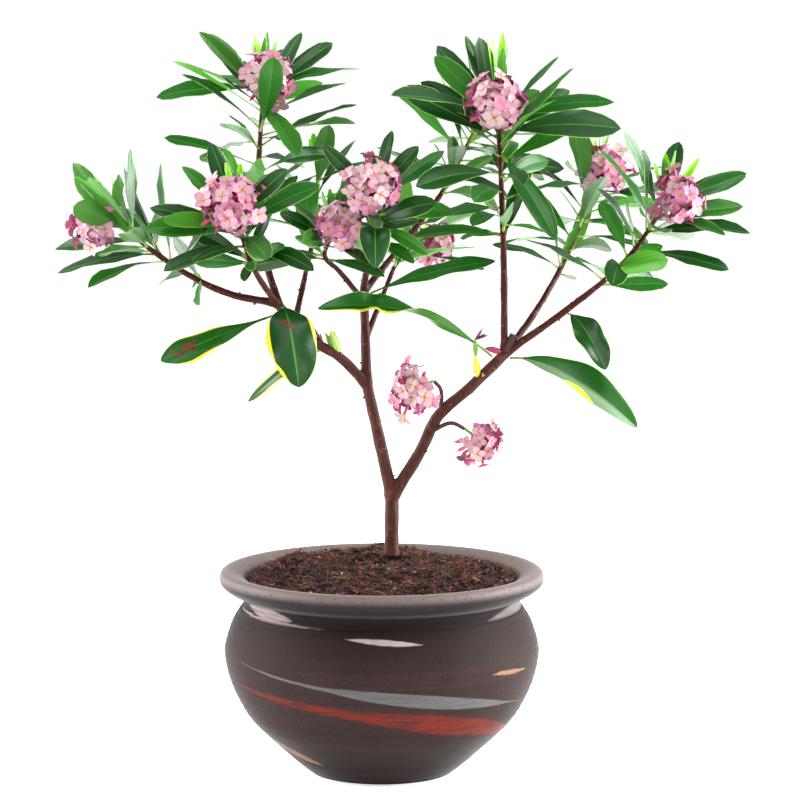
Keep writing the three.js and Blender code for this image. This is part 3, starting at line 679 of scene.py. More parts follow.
    def nearLeaf(self, plan):
        line = self.lines[plan["limb"]]
        start = line.point(plan["at"])
        axis = line.heading(plan["at"])
        away = np.array(plan["tip"], float) - start
        outward = squareTo(away, axis)
        leaf = {"points": bowedLine(start, start + away, plan["arch"]), "half": plan["half"], "roll": 0,
                "axis": axis, "outward": outward, "tint": plan["tint"]}
        leaf["points"][1] += outward * plan["swing"]
        self.register(leaf, plan["limb"])
        return leaf

    def loneLeaf(self, plan):
        line = self.lines[plan["limb"]]
        root = line.point(plan["at"])
        points = bowedLine(root, np.array(plan["tip"], float), plan["arch"])
        outward = unit((points[2] - root) * [1, 1, 0])
        points[1] += outward * plan.get("swing", 0)
        forward = unit(points[1] - root)
        slant = np.linalg.norm(np.cross(forward, line.heading(plan["at"])))
        foot = girthAt(self.plans[plan["limb"]], plan["at"]) / slant + leafRule["footLength"]
        points[0] = root + forward * (foot + leafRule["gap"])
        leaf = {"points": points, "half": plan["half"], "roll": plan["roll"], "axis": upward,
                "outward": outward, "plan": plan}
        self.register(leaf, plan["name"])
        return leaf


plant = Plant()
lone = [plant.loneLeaf(plan) for plan in loneLeaves]
lone += [plant.nearLeaf(plan) for plan in nearLeaves]
farGrown = [plant.farLeaves(plan, plan["far"]) for plan in shoots]
shootLeaves = [ownFar + plant.ownLeaves(plan) for ownFar, plan in zip(farGrown, shoots)]
plant.clear = closer
for plan, leaves in zip(shoots, shootLeaves):
    reached = [leaf["points"][2] for leaf in leaves]
    missing = [tip for tip in plan["far"]
               if min(np.linalg.norm(end - tip) for end in reached) > far["missedBy"]]
    leaves += plant.farLeaves(plan, missing)
plant.frontsOpen = True
for plan, leaves in zip(shoots, shootLeaves):
    leaves += plant.finerLeaves(plan) + plant.tuftLeaves(plan)
print("leaves grown:", len(lone) + sum(len(leaves) for leaves in shootLeaves))


# Pot

pot = {
    "facets": 160,
    "belly": [(53.2, 0), (54.6, 0.7), (68.4, 12), (95.5, 37.5), (107.4, 55), (115.2, 73.5), (118.4, 90),
              (117.4, 100), (112.4, 115), (106.4, 124.9)],
    "neck": [(105.1, 125.3), (104.5, 127.5), (104.3, 130.5), (104.8, 133.6), (107.9, 135.5), (112.6, 137.4),
             (117.2, 140), (120.9, 143.4), (122, 147.2), (120.9, 151.5), (117.6, 153.5), (112.5, 152.9),
             (107.5, 150.8), (103.5, 148.4), (101, 145)],
    "inside": [(97, 125), (103.5, 115), (110, 90), (106.7, 73.5), (87, 37.5), (60, 12), (56, 10)],
    "bellySteps": 7,
    "neckSteps": 4,
    "ridge": 0.18,
    "ridgeSpacing": 4.1,
    "ridgeFrom": 2,
    "ridgeTo": 124,
    "ridgeDrift": 2,
    "driftSpacing": 17,
    "smoothAngle": 32,
}
# middle and reach are degrees round the pot, peak and spread shares of the reach, wear a share that is bare,
# and the other sizes millimetres
streaks = [
    {"colour": (170, 158, 158), "middle": 1, "reach": 15, "height": 118, "slope": -2, "thin": 2.1,
     "ragged": 1.6},
    {"colour": (90, 92, 91), "middle": 4, "reach": 69, "height": 77.4, "slope": -17, "thin": 1.6,
     "thick": 3.7, "peak": 0.2, "spread": 0.55, "ragged": 1.2},
    {"colour": (106, 35, 20), "middle": 0, "reach": 70, "height": 61.4, "slope": -18.5, "bow": -4.5,
     "thin": 3.4, "thick": 5, "peak": 0.5, "spread": 0.62, "ragged": 5, "wear": 0.8, "soft": 1.6},
    {"colour": (142, 106, 82), "middle": 53.5, "reach": 10.5, "height": 88.7, "slope": -1.1, "thin": 1.9},
    {"colour": (132, 88, 60), "middle": -54, "reach": 17, "height": 23, "slope": -7.5, "thin": 4.2},
    # this white patch on the left of the neck is partly real white slip and partly a painted highlight
    {"colour": (146, 131, 132), "middle": -54.5, "reach": 16, "height": 130.4, "slope": -1.8, "thin": 4.6,
     "ragged": 5, "wear": 0.5, "soft": 1, "above": 126.2},
    {"colour": (150, 136, 136), "middle": -53, "reach": 31, "height": 125.7, "slope": -0.4, "thin": 1.1,
     "above": 124.7},
    # this pale patch on the right end of the neck is painted lamp light, bounded by the lip's shadow
    {"colour": (112, 105, 105), "middle": 84, "reach": 36, "height": 130, "slope": 1, "bow": -3, "thin": 6.5,
     "ragged": 1.5, "wear": 0.4, "soft": 1, "above": 126.2},
    {"colour": (120, 114, 110), "middle": 106, "reach": 28, "height": 101, "slope": 5, "bow": 2, "thin": 2.4,
     "thick": 2, "peak": -0.2, "spread": 0.5},
    {"colour": (106, 35, 20), "middle": 170, "reach": 60, "height": 76, "slope": -12, "bow": 3, "thin": 2,
     "thick": 4.4, "peak": 0.3, "spread": 0.6, "ragged": 5, "wear": 0.8, "soft": 1.6},
    {"colour": (94, 96, 95), "middle": -150, "reach": 64, "height": 97, "slope": -13, "bow": -4, "thin": 1.6,
     "thick": 3.4, "peak": -0.3, "spread": 0.5},
    {"colour": (140, 100, 70), "middle": 140, "reach": 22, "height": 42, "slope": 4, "thin": 2.4},
    {"colour": (120, 96, 74), "middle": 116, "reach": 24, "height": 150.4, "slope": 0.5, "thin": 0.6},
    {"colour": (120, 98, 80), "middle": -146, "reach": 28, "height": 150.2, "slope": 0.5, "thin": 0.5},
]
# bands: where each shade of clay starts and is full, and how much it covers; belly: where the gloss ends
clay = {"dark": (42, 30, 29), "light": (52, 38, 36), "pit": (20, 14, 14),
        # low is painted shade, darker towards the bottom; neck is a painted shadow under the lip; rim is a
        # painted highlight along the lip
        "low": (22, 13, 9), "upper": (32, 22, 21), "neck": (25, 17, 16), "rim": (104, 91, 90),
        "bands": (("low", 85, 0, 0.85), ("upper", 88, 118, 0.85), ("neck", 126, 129, 1.0),
                  ("rim", 145, 151, 1.0)),
        "belly": (148, 126), "roughness": 0.48, "lineRoughness": 0.16, "bellyRoughness": 0.16, "shine": 0.1,
        "coat": 0.2, "ragged": 3.2, "wear": 0.3, "soft": 0.4, "blur": 0.3, "pinch": 0.02, "cut": 5,
        "cover": 0.92, "lineRelief": 0.5, "sandRelief": 1.2, "relief": (0.5, 0.5)}
clayDust = {"Coat Roughness": 0.6, "Sheen Weight": 0.2, "Sheen Roughness": 0.28}
# scale across, scale up and detail of each noise that is drawn out, scale and detail of the even ones
clayGrain = {"lines": (6, 420, 4.0), "ragged": (110, 1300, 4.0), "brushed": (40, 900, 5.0),
             "mottle": (26.0, 3.0), "sand": (640.0, 2.0)}
# the stretch of a noise over which each effect grows, and how strong it is at both ends
claySteps = {"light": (0.32, 0.68), "pits": (0.4, 0.3, 0.0, 0.85), "brushed": (0.32, 0.56),
             "sanded": (0.3, 0.42, 0.3, 1.0)}


def smoothOutline(points, steps):  # a rounded line through profile points
    points = np.array(points, float)
    ends = np.concatenate([[2 * points[0] - points[1]], points, [2 * points[-1] - points[-2]]])
    outline = []
    for a, b, c, d in zip(ends, ends[1:], ends[2:], ends[3:]):
        for share in np.arange(steps) / steps:
            outline.append(0.5 * (2 * b + (c - a) * share + (2 * a - 5 * b + 4 * c - d) * share ** 2
                                  + (3 * b - a - 3 * c + d) * share ** 3))
    return outline + [points[-1]]


def turnedBody(name, profile):  # rings drawn up one after another from a disc
    deselectAll()
    bpy.ops.mesh.primitive_circle_add(vertices=pot["facets"], radius=profile[0][0] * mm, fill_type="NGON",
                                      location=(0, 0, profile[0][1] * mm))
    body = bpy.context.object
    body.name = name
    bpy.ops.object.transform_apply(location=True)
    bpy.ops.object.mode_set(mode="EDIT")
    bpy.ops.mesh.select_all(action="SELECT")
    for (radius, height), (wider, higher) in zip(profile, profile[1:]):
        lift = (0, 0, (higher - height) * mm)
        bpy.ops.mesh.extrude_region_move(TRANSFORM_OT_translate={"value": lift})
        scale = (wider / radius, wider / radius, 1)
        bpy.ops.transform.resize(value=scale, center_override=(0, 0, higher * mm))
    bpy.ops.mesh.select_all(action="SELECT")
    bpy.ops.mesh.normals_make_consistent(inside=False)
    bpy.ops.object.mode_set(mode="OBJECT")
    bpy.ops.object.shade_smooth_by_angle(angle=math.radians(pot["smoothAngle"]))
    return body


def streakMask(point, angle, height, ragged, streak):  # 1 inside one lens-shaped streak
    turn = point.sum("WRAP", angle - math.radians(streak["middle"]), math.pi, -math.pi)
    share = turn * (1 / math.radians(streak["reach"]))
    square = share * share
    middle = share * (streak["slope"] * mm) + square * (streak.get("bow", 0) * mm) + streak["height"] * mm
    ends = point.sum("MAXIMUM", 1 - square, 0)
    half = ends * (streak["thin"] * mm) - (1 - ends.step(0.0, clay["pinch"])) * (clay["cut"] * mm)
    if "thick" in streak:
        away = (share - streak["peak"]) * (1 / streak["spread"])
        half = half + point.sum("MAXIMUM", 1 - away * away, 0) * (streak["thick"] * mm)
    frayed = ragged * (streak.get("ragged", clay["ragged"]) * mm)
    inside = half - point.sum("ABSOLUTE", height - middle) + frayed
    if "above" in streak:
        inside = point.sum("MINIMUM", inside, height - streak["above"] * mm)
    soft = streak.get("soft", clay["soft"]) * mm
    return inside.step(-soft, soft + clay["blur"] * mm, 0.0, clay["cover"])


def clayFinish():
    finish = newFinish("streakedClay", clay["dark"], clay["roughness"], clay["shine"])
    point = surfacePoint(finish)
    across, away, height = point.parts()
    angle = point.sum("ARCTAN2", across, away * -1)
    lines = point.drawnOut(*clayGrain["lines"])
    mottle = point.grain(*clayGrain["mottle"])
    sand = point.grain(*clayGrain["sand"])
    light = (lines * 0.5 + mottle * 0.5).step(*claySteps["light"])
    colour = light.blend(tint(*clay["dark"]), tint(*clay["light"]))
    # bands by height, among them painted shade low down, a painted shadow under the lip and a painted
    # highlight on the lip
    for name, start, full, cover in clay["bands"]:
        colour = height.step(start * mm, full * mm, 0.0, cover).blend(colour, tint(*clay[name]))
    colour = sand.step(*claySteps["pits"]).blend(colour, tint(*clay["pit"]))
    ragged = point.drawnOut(*clayGrain["ragged"]) - 0.5
    brushed = point.drawnOut(*clayGrain["brushed"])
    bare = 1 - brushed.step(*claySteps["brushed"]) * sand.step(*claySteps["sanded"])
    for streak in streaks:
        worn = 1 - bare * streak.get("wear", clay["wear"])
        mask = streakMask(point, angle, height, ragged, streak) * worn
        colour = mask.blend(colour, tint(*streak["colour"]))
    colour.into("Base Color")
    above, below = clay["belly"]
    belly = height.step(above * mm, below * mm)
    rough = lines * clay["lineRoughness"] + belly * clay["bellyRoughness"] + clay["roughness"]
    rough.into("Roughness")
    (1 - belly).step(0.0, 1.0, 0.0, clay["coat"]).into("Coat Weight")
    sockets = finish.node_tree.nodes["Principled BSDF"].inputs
    for name, value in clayDust.items():
        sockets[name].default_value = value
    strength, depth = clay["relief"]
    (lines * clay["lineRelief"] + sand * belly * clay["sandRelief"]).bump(strength, depth * mm)
    return finish


def makePot():
    outline = []
    for radius, height in smoothOutline(pot["belly"], pot["bellySteps"]):
        drift = pot["ridgeDrift"] * math.sin(height / pot["driftSpacing"])
        wave = math.sin(height / pot["ridgeSpacing"] * 2 * math.pi + drift)
        ridged = pot["ridgeFrom"] < height < pot["ridgeTo"]
        outline.append((radius + pot["ridge"] * wave * ridged, max(height, 0)))
    outline += smoothOutline(pot["neck"], pot["neckSteps"])
    body = turnedBody("clayPot", outline + pot["inside"])
    body.data.materials.append(clayFinish())
    keep(body, "pot_clay", "pot")


makePot()
print("pot ready")


# Soil

# lumps: size, seed and weight; the clumps fade to a part of their height near the edge
soil = {"edge": 100.4, "edgeHeight": 147.0, "crown": 162.4, "moundPower": 2.2, "below": 24, "footShare": 0.96,
        "rings": 60, "ringPower": 0.85, "spokes": 190, "clump": 4.8, "level": 2.05, "fadeRate": 7,
        "fadeLeast": 0.3, "lumps": ((25, 1, 1.5), (11, 2, 1.3), (4.8, 3, 1.0)), "roughness": 0.95,
        "smoothAngle": 60,
        "grain": (420.0, 4.0), "grainStep": (0.4, 0.64), "relief": (0.6, 1.5)}
bits = {"crumbs": 4400, "fibres": 8200, "chips": 60, "seed": 5, "rimGap": 2, "trunkGap": 6, "lift": 0.35,
        "pitch": (-0.5, 0.5), "roughness": 0.9, "crumbSize": (0.7, 3.9), "crumbPower": 3,
        "crumbShape": ((0.8, 1.5), (0.7, 1.1), (0.6, 1)), "crumbTints": (0, 4.2), "crumbTintPower": 1.4,
        "fibreShape": ((1.6, 6), (0.3, 0.75), (0.3, 0.75)), "fibreTints": (1, 4.99), "fibreTintPower": 1.2,
        "chipSize": (0.7, 1.3)}
noiseHash = {"column": 127.1, "row": 311.7, "seed": 74.7, "spread": 43758.5453}
soilTints = [(23, 12, 9), (39, 19, 14), (60, 28, 20), (86, 42, 28), (132, 80, 56), (206, 186, 166)]
bitTints = {str(index): colour for index, colour in enumerate(soilTints)}


def softNoise(x, y, size, seed):  # smooth lumps of one size over the ground
    column, row = np.floor(x / size), np.floor(y / size)
    fx, fy = x / size - column, y / size - row
    fx, fy = fx * fx * (3 - 2 * fx), fy * fy * (3 - 2 * fy)

    def corner(dx, dy):
        phase = (column + dx) * noiseHash["column"] + (row + dy) * noiseHash["row"] + seed * noiseHash["seed"]
        value = np.sin(phase) * noiseHash["spread"]
        return value - np.floor(value)
    near = corner(0, 0) * (1 - fx) + corner(1, 0) * fx
    return near * (1 - fy) + (corner(0, 1) * (1 - fx) + corner(1, 1) * fx) * fy


def soilHeight(x, y):  # a low mound with clumps and crumbs
    share = np.clip(np.hypot(x, y) / soil["edge"], 0, 1)
    mound = mix(soil["crown"], soil["edgeHeight"], share ** soil["moundPower"])
    lumps = sum(softNoise(x, y, size, seed) * weight for size, seed, weight in soil["lumps"]) - soil["level"]
    return mound + lumps * soil["clump"] * np.clip((1 - share) * soil["fadeRate"], soil["fadeLeast"], 1)


def makeGround():
    count = soil["spokes"]
    radii = np.linspace(0, 1, soil["rings"])[1:] ** soil["ringPower"] * soil["edge"]
    angles = np.linspace(0, 2 * math.pi, count, endpoint=False)
    x = np.outer(radii, np.cos(angles)).ravel()
    y = np.outer(radii, np.sin(angles)).ravel()
    top = np.stack([x, y, soilHeight(x, y)], axis=1)
    narrower = [soil["footShare"], soil["footShare"], 0]
    low = top[-count:] * narrower + [0, 0, soil["edgeHeight"] - soil["below"]]
    middle = np.array([[0, 0, float(soilHeight(np.zeros(1), np.zeros(1))[0])]])
    rows = len(radii)
    centre = (rows + 1) * count
    faces = ringFaces(rows, count)
    faces += [[centre, spoke, (spoke + 1) % count] for spoke in range(count)]
    faces.append([rows * count + spoke for spoke in reversed(range(count))])
    heap = Heap()
    heap.add(np.concatenate([top, low, middle]), faces, [0] * len(faces))
    finish = newFinish("pottingMix", soilTints[0], soil["roughness"])
    crumbs = surfacePoint(finish).grain(*soil["grain"])
    crumbs.step(*soil["grainStep"]).blend(tint(*soilTints[0]), tint(*soilTints[1])).into("Base Color")
    strength, depth = soil["relief"]
    crumbs.bump(strength, depth * mm)
    ground = heap.build("pottingMix", [finish], soil["smoothAngle"])
    keep(ground, "soil", "soil")


def laidFlat(shape, spin, pitch):  # tipped a little, then turned about the upright
    flat = shape * [math.cos(pitch), 1, 1] + np.outer(shape[:, 0] * math.sin(pitch), [0, 0, 1])
    cos, sin = math.cos(spin), math.sin(spin)
    across = flat[:, 0] * cos - flat[:, 1] * sin
    away = flat[:, 0] * sin + flat[:, 1] * cos
    return np.stack([across, away, flat[:, 2]], 1)


def makeCrumbs():  # fibres, crumbs and pale chips lying on the mound
    draw = seeded(bits["seed"])
    heap = Heap()
    block = np.array([[1, 0, 0], [-0.5, 0.8, 0], [-0.6, -0.8, 0.1], [0.1, 0.1, 0.8], [0, 0, -0.7]])
    blockFaces = [[0, 1, 3], [1, 2, 3], [2, 0, 3], [1, 0, 4], [2, 1, 4], [0, 2, 4]]
    sliver = np.array([[-1, 0.5, 0], [-1, -0.5, 0], [-1, 0, 0.8], [1, 0.3, 0.1], [1, -0.3, 0], [1, 0, 0.4]])
    sliverFaces = [[0, 1, 2], [4, 3, 5], [1, 0, 3, 4], [2, 1, 4, 5], [0, 2, 5, 3]]
    for index in range(bits["crumbs"] + bits["fibres"] + bits["chips"]):
        radius = (soil["edge"] - bits["rimGap"]) * math.sqrt(draw(0, 1))
        turn = draw(0, 2 * math.pi)
        x, y = radius * math.cos(turn), radius * math.sin(turn)
        if math.hypot(x - trunk["foot"][0], y) < bits["trunkGap"]:
            continue
        place = np.array([x, y, float(soilHeight(np.array([x]), np.array([y]))[0])])
        spin, pitch = draw(0, 2 * math.pi), draw(*bits["pitch"])
        faces = blockFaces
        if index < bits["crumbs"]:
            size = mix(*bits["crumbSize"], draw(0, 1) ** bits["crumbPower"])
            shape = block * size * [draw(*span) for span in bits["crumbShape"]]
            slot = int(mix(*bits["crumbTints"], draw(0, 1) ** bits["crumbTintPower"]))
        elif index < bits["crumbs"] + bits["fibres"]:
            shape = sliver * [draw(*span) for span in bits["fibreShape"]]
            faces = sliverFaces
            slot = int(mix(*bits["fibreTints"], draw(0, 1) ** bits["fibreTintPower"]))
        else:
            shape = block * draw(*bits["chipSize"])
            slot = len(soilTints) - 1
        bit = laidFlat(shape, spin, pitch) + place + [0, 0, bits["lift"]]
        heap.add(bit, faces, [slot] * len(faces))
    keep(heap.build("soilCrumbs", finishSet("soilBit", bitTints, bits["roughness"])), "soil")


makeGround()
makeCrumbs()
print("soil ready")


# Trunk, stems and boughs

limbPlans = [trunk] + stems + shoots
bark = {"sides": 14, "step": 2.2, "voxel": 0.76, "smooth": 5, "softness": 0.5, "plump": -0.1,
        "collar": 0.22, "collarReach": 7, "seed": 31, "scarEvery": 8.5, "scarPlace": (0.2, 0.8),
        "scarLift": 0.42, "scarTall": 0.6, "scarWide": 1.7, "ridge": 0.1, "ridgeTurns": 5, "ridgeDrift": 0.11,
        "ridgeRate": 0.37, "lump": 0.16, "lumpTurns": 2, "lumpDrift": 0.07, "lumpRate": 0.19,
        "stemAge": 0.08, "shootAge": (0.45, 0.55), "roughness": 0.45, "strandRoughness": 0.25, "shine": 0.16,
        "strands": (900, 130, 4.0), "patches": (120.0, 4.0), "strandRelief": 0.8, "patchRelief": 0.4,
        "relief": (0.4, 0.4)}
barkTints = {"old": (78, 42, 33), "red": (66, 21, 12), "deep": (34, 15, 12), "scar": (140, 92, 72),
             "green": (92, 110, 44)}
# what each colour is laid on by, the colour, and the stretch over which it grows
barkLayers = (("age", "red", (0.0, 0.6)), ("strands", "deep", (0.42, 0.7, 0.0, 0.65)),
              ("patches", "scar", (0.56, 0.78, 0.0, 0.35)), ("scar", "scar", (0.35, 0.85, 0.0, 0.75)),
              ("age", "green", (0.93, 1.0, 0.0, 0.85)))


def tubeInto(heap, line, shares, radii, sides, slot=0):  # rings round a line, capped at both ends
    turns = np.arange(sides) / sides * 2 * math.pi
    points = []
    for share, radius in zip(shares, radii):
        heading = line.heading(share)
        out = squareTo(backward, heading)
        ring = np.outer(np.cos(turns), np.cross(heading, out)) + np.outer(np.sin(turns), out)
        points.append(line.point(share) + radius * ring)
    rows = len(points)
    faces = ringFaces(rows - 1, sides)
    faces.append(list(range(sides)))
    faces.append([(rows - 1) * sides + index for index in reversed(range(sides))])
    heap.add(np.concatenate(points), faces, [slot] * len(faces))


def limbRadius(plan, line, share):
    walked = share * line.length
    radius = girthAt(plan, share) + bark["plump"]
    if plan is trunk:
        return radius + limb["flare"] * math.exp(-walked / limb["flareHeight"])
    return radius * (1 + bark["collar"] * math.exp(-(walked / bark["collarReach"]) ** 2))


def makeLimbTubes():
    heap = Heap()
    for plan in limbPlans:
        line = plant.lines[plan["name"]]
        shares = np.linspace(0, 1, max(3, round(line.length / bark["step"])))
        radii = [limbRadius(plan, line, share) for share in shares]
        tubeInto(heap, line, shares, radii, bark["sides"])
    return heap.build("barkLimbs", [])


def fuseLimbs(piece):  # one skin over all the tubes, softened where limbs join
    skin = piece.modifiers.new("skin", "REMESH")
    skin.mode = "VOXEL"
    skin.voxel_size = bark["voxel"] * mm
    bpy.ops.object.modifier_apply(modifier="skin")
    soft = piece.modifiers.new("soft", "SMOOTH")
    soft.factor = bark["softness"]
    soft.iterations = bark["smooth"]
    bpy.ops.object.modifier_apply(modifier="soft")


def limbRows():  # order, length walked, share, point and heading, about every millimetre of each limb
    rows = []
    for order, plan in enumerate(limbPlans):
        line = plant.lines[plan["name"]]
        for share in np.linspace(0, 1, round(line.length)):
            rows.append((order, share * line.length, share, *line.point(share), *line.heading(share)))
    return np.array(rows)


def nearestRows(rows, places):
    tree = kdtree.KDTree(len(rows))
    for index, row in enumerate(rows):
        tree.insert(row[3:6], index)
    tree.balance()
    return rows[[tree.find(place)[1] for place in places]]


def scarMarks(order, length, walked, angle, radius):  # how far each point lies inside a leaf scar
    draw = seeded(order + bark["seed"])
    count = int(length / bark["scarEvery"])
    marks = np.zeros(len(walked))
    for index in range(count):
        above = (walked - length * (index + draw(*bark["scarPlace"])) / count) / bark["scarTall"]
        turn = index * goldenAngle + order
        beside = np.angle(np.exp(1j * (angle - turn))) * radius / bark["scarWide"]
        marks = np.maximum(marks, np.exp(-above ** 2) * np.exp(-beside ** 2))
    return marks


def barkLift(order, walked, angle):  # fine ridges and broad lumps
    ridges = np.sin(angle * bark["ridgeTurns"] + walked * bark["ridgeDrift"] + order)
    ridges = ridges * np.sin(walked * bark["ridgeRate"] + order * 2)
    lumps = np.sin(walked * bark["lumpRate"] + order * 3)
    lumps = lumps * np.cos(angle * bark["lumpTurns"] + walked * bark["lumpDrift"])
    return ridges * bark["ridge"] + lumps * bark["lump"]


def carveBark(piece):  # scars, ridges and lumps, pushed out along the limb's own round
    count = len(piece.data.vertices)
    places = np.zeros(count * 3)
    piece.data.vertices.foreach_get("co", places)
    places = places.reshape(-1, 3) / mm
    nearest = nearestRows(limbRows(), places)
    heading = nearest[:, 6:9]
    offset = places - nearest[:, 3:6]
    walked = nearest[:, 1] + np.sum(offset * heading, axis=1)
    radial = offset - heading * np.sum(offset * heading, axis=1, keepdims=True)
    radius = np.linalg.norm(radial, axis=1)
    radial = radial / np.maximum(radius, 1e-6)[:, None]
    out = unit(backward - heading * heading[:, 1:2])
    angle = np.arctan2(np.sum(radial * out, axis=1), np.sum(radial * np.cross(heading, out), axis=1))
    scars = np.zeros(count)
    lift = np.zeros(count)
    for order, plan in enumerate(limbPlans):
        mine = nearest[:, 0] == order
        length = plant.lines[plan["name"]].length
        scars[mine] = scarMarks(order, length, walked[mine], angle[mine], radius[mine])
        lift[mine] = barkLift(order, walked[mine], angle[mine])
    grown = places + radial * (lift + scars * bark["scarLift"])[:, None]
    piece.data.vertices.foreach_set("co", (grown * mm).ravel())
    onShoot = nearest[:, 0] > len(stems)
    start, gain = bark["shootAge"]
    age = np.where(onShoot, start + gain * nearest[:, 2], nearest[:, 0] * bark["stemAge"])
    for name, values in (("age", age), ("scar", scars)):
        layer = piece.data.attributes.new(name, "FLOAT", "POINT")
        layer.data.foreach_set("value", values.astype(np.float32))


def barkFinish():
    finish = newFinish("redBark", barkTints["old"], bark["roughness"], bark["shine"])
    point = surfacePoint(finish)
    wires = {"strands": point.drawnOut(*bark["strands"]), "patches": point.grain(*bark["patches"])}
    for name in ("age", "scar"):
        wires[name] = point.node("ShaderNodeAttribute", {"attribute_name": name}, {}, "Fac")
    colour = tint(*barkTints["old"])
    for name, shade, stretch in barkLayers:
        colour = wires[name].step(*stretch).blend(colour, tint(*barkTints[shade]))
    colour.into("Base Color")
    (wires["strands"] * bark["strandRoughness"] + bark["roughness"]).into("Roughness")
    strength, depth = bark["relief"]
    height = wires["strands"] * bark["strandRelief"] + wires["patches"] * bark["patchRelief"]
    height.bump(strength, depth * mm)
    return finish


def makeLimbs():
    piece = makeLimbTubes()
    fuseLimbs(piece)
    carveBark(piece)
    piece.data.materials.clear()
    piece.data.materials.append(barkFinish())
    bpy.ops.object.shade_smooth()
    boughs = [plan["name"] + "_bough" for plan in shoots]
    keep(piece, "bark", "trunk", *[plan["name"] for plan in stems], *boughs)
    print("limb faces:", len(piece.data.polygons))


makeLimbs()


# Leaves

leafLook = {"stations": (0, 0.07, 0.15, 0.28, 0.43, 0.58, 0.73, 0.86, 0.945, 0.985, 1), "margin": 0.95,
            "rib": 0.045, "middle": 0.52, "slim": 0.76, "slimTo": 1e-3, "footSlim": 0.3, "point": 0.06,
            "pointPower": 0.35, "turn": 0.3, "fold": (0.2, 0.6), "curl": (0.12, 0.3), "wave": (0.08, 0.26),
            "waves": (1.2, 2.6), "phase": (0, 6), "offbeat": 1.7, "twist": (-0.9, 0.9), "thick": (1.4, 0.35),
            "thinBy": 0.25, "below": (0.7, 1, 1, 0.7), "stalkEnd": 0.15, "stalkHalf": 1.05, "goldFrom": 0.02,
            "gloss": 0.38, "shine": 0.36, "grain": (260.0, 3.0), "relief": (0.15, 1), "smoothAngle": 50,
            "seed": 77}
loneLook = {"stations": 41, "slim": 1, "point": 1e-3, "twists": ((0, 1), (0, 0))}
blotchLook = {"sides": 9, "reach": (0.55, 1.2), "edgeLift": 0.2, "middleLift": 0.35}
leafTints = {
    "deep": (6, 62, 4), "dusk": (34, 72, 34), "mid": (16, 88, 4), "fresh": (32, 104, 4),
    "bright": (54, 130, 8), "young": (128, 210, 20), "edge": (128, 178, 76), "gold": (238, 222, 62),
    # glow is painted light shining through a leaf from behind
    "rib": (60, 128, 36), "under": (58, 112, 34), "shade": (62, 98, 50), "glow": (76, 150, 34),
    # sheen is a painted reflection, laid on one half of a blade
    "stalk": (124, 158, 62), "scorch": (110, 50, 28), "sheen": (112, 142, 108),
}
leafSlots = slotsOf(leafTints)
# the colours that leaves are dealt, near the tip of a shoot, below it and underneath, where glow is painted
# light shining through
leafDeal = {"high": ("mid", "deep", "fresh", "bright"), "low": ("deep", "mid", "dusk", "fresh"),
            "under": ("under", "shade", "under", "glow"), "lowFrom": 0.35, "power": 1.4, "underPower": 1.3}


def goldDepth(plan, stations, side):  # how far a pale margin reaches into one half of a lone leaf
    depth = np.zeros(len(stations))
    for goldSide, start, end, reach in plan.get("gold", ()):
        if goldSide == side:
            depth += reach * np.sin(math.pi * np.clip((stations - start) / (end - start), 0, 1))
    return depth


def blotchInto(heap, blade, blotch, draw):  # a low uneven patch on the upper face
    share, column, length, width = blotch
    last = blotchLook["sides"]
    turns = np.arange(last) / last * 2 * math.pi
    reach = np.array([draw(*blotchLook["reach"]) for _ in turns])
    along, across = share + np.cos(turns) * length * reach, column + np.sin(turns) * width * reach
    ring = blade.surface(along, across, -blotchLook["edgeLift"])
    centre = blade.surface(np.array([share]), np.array([column]), -blotchLook["middleLift"])
    faces = [[(index + 1) % last, index, last] for index in range(last)]
    faces.append(list(range(last)))
    heap.add(np.concatenate([ring, centre]), faces, [leafSlots["scorch"]] * len(faces))


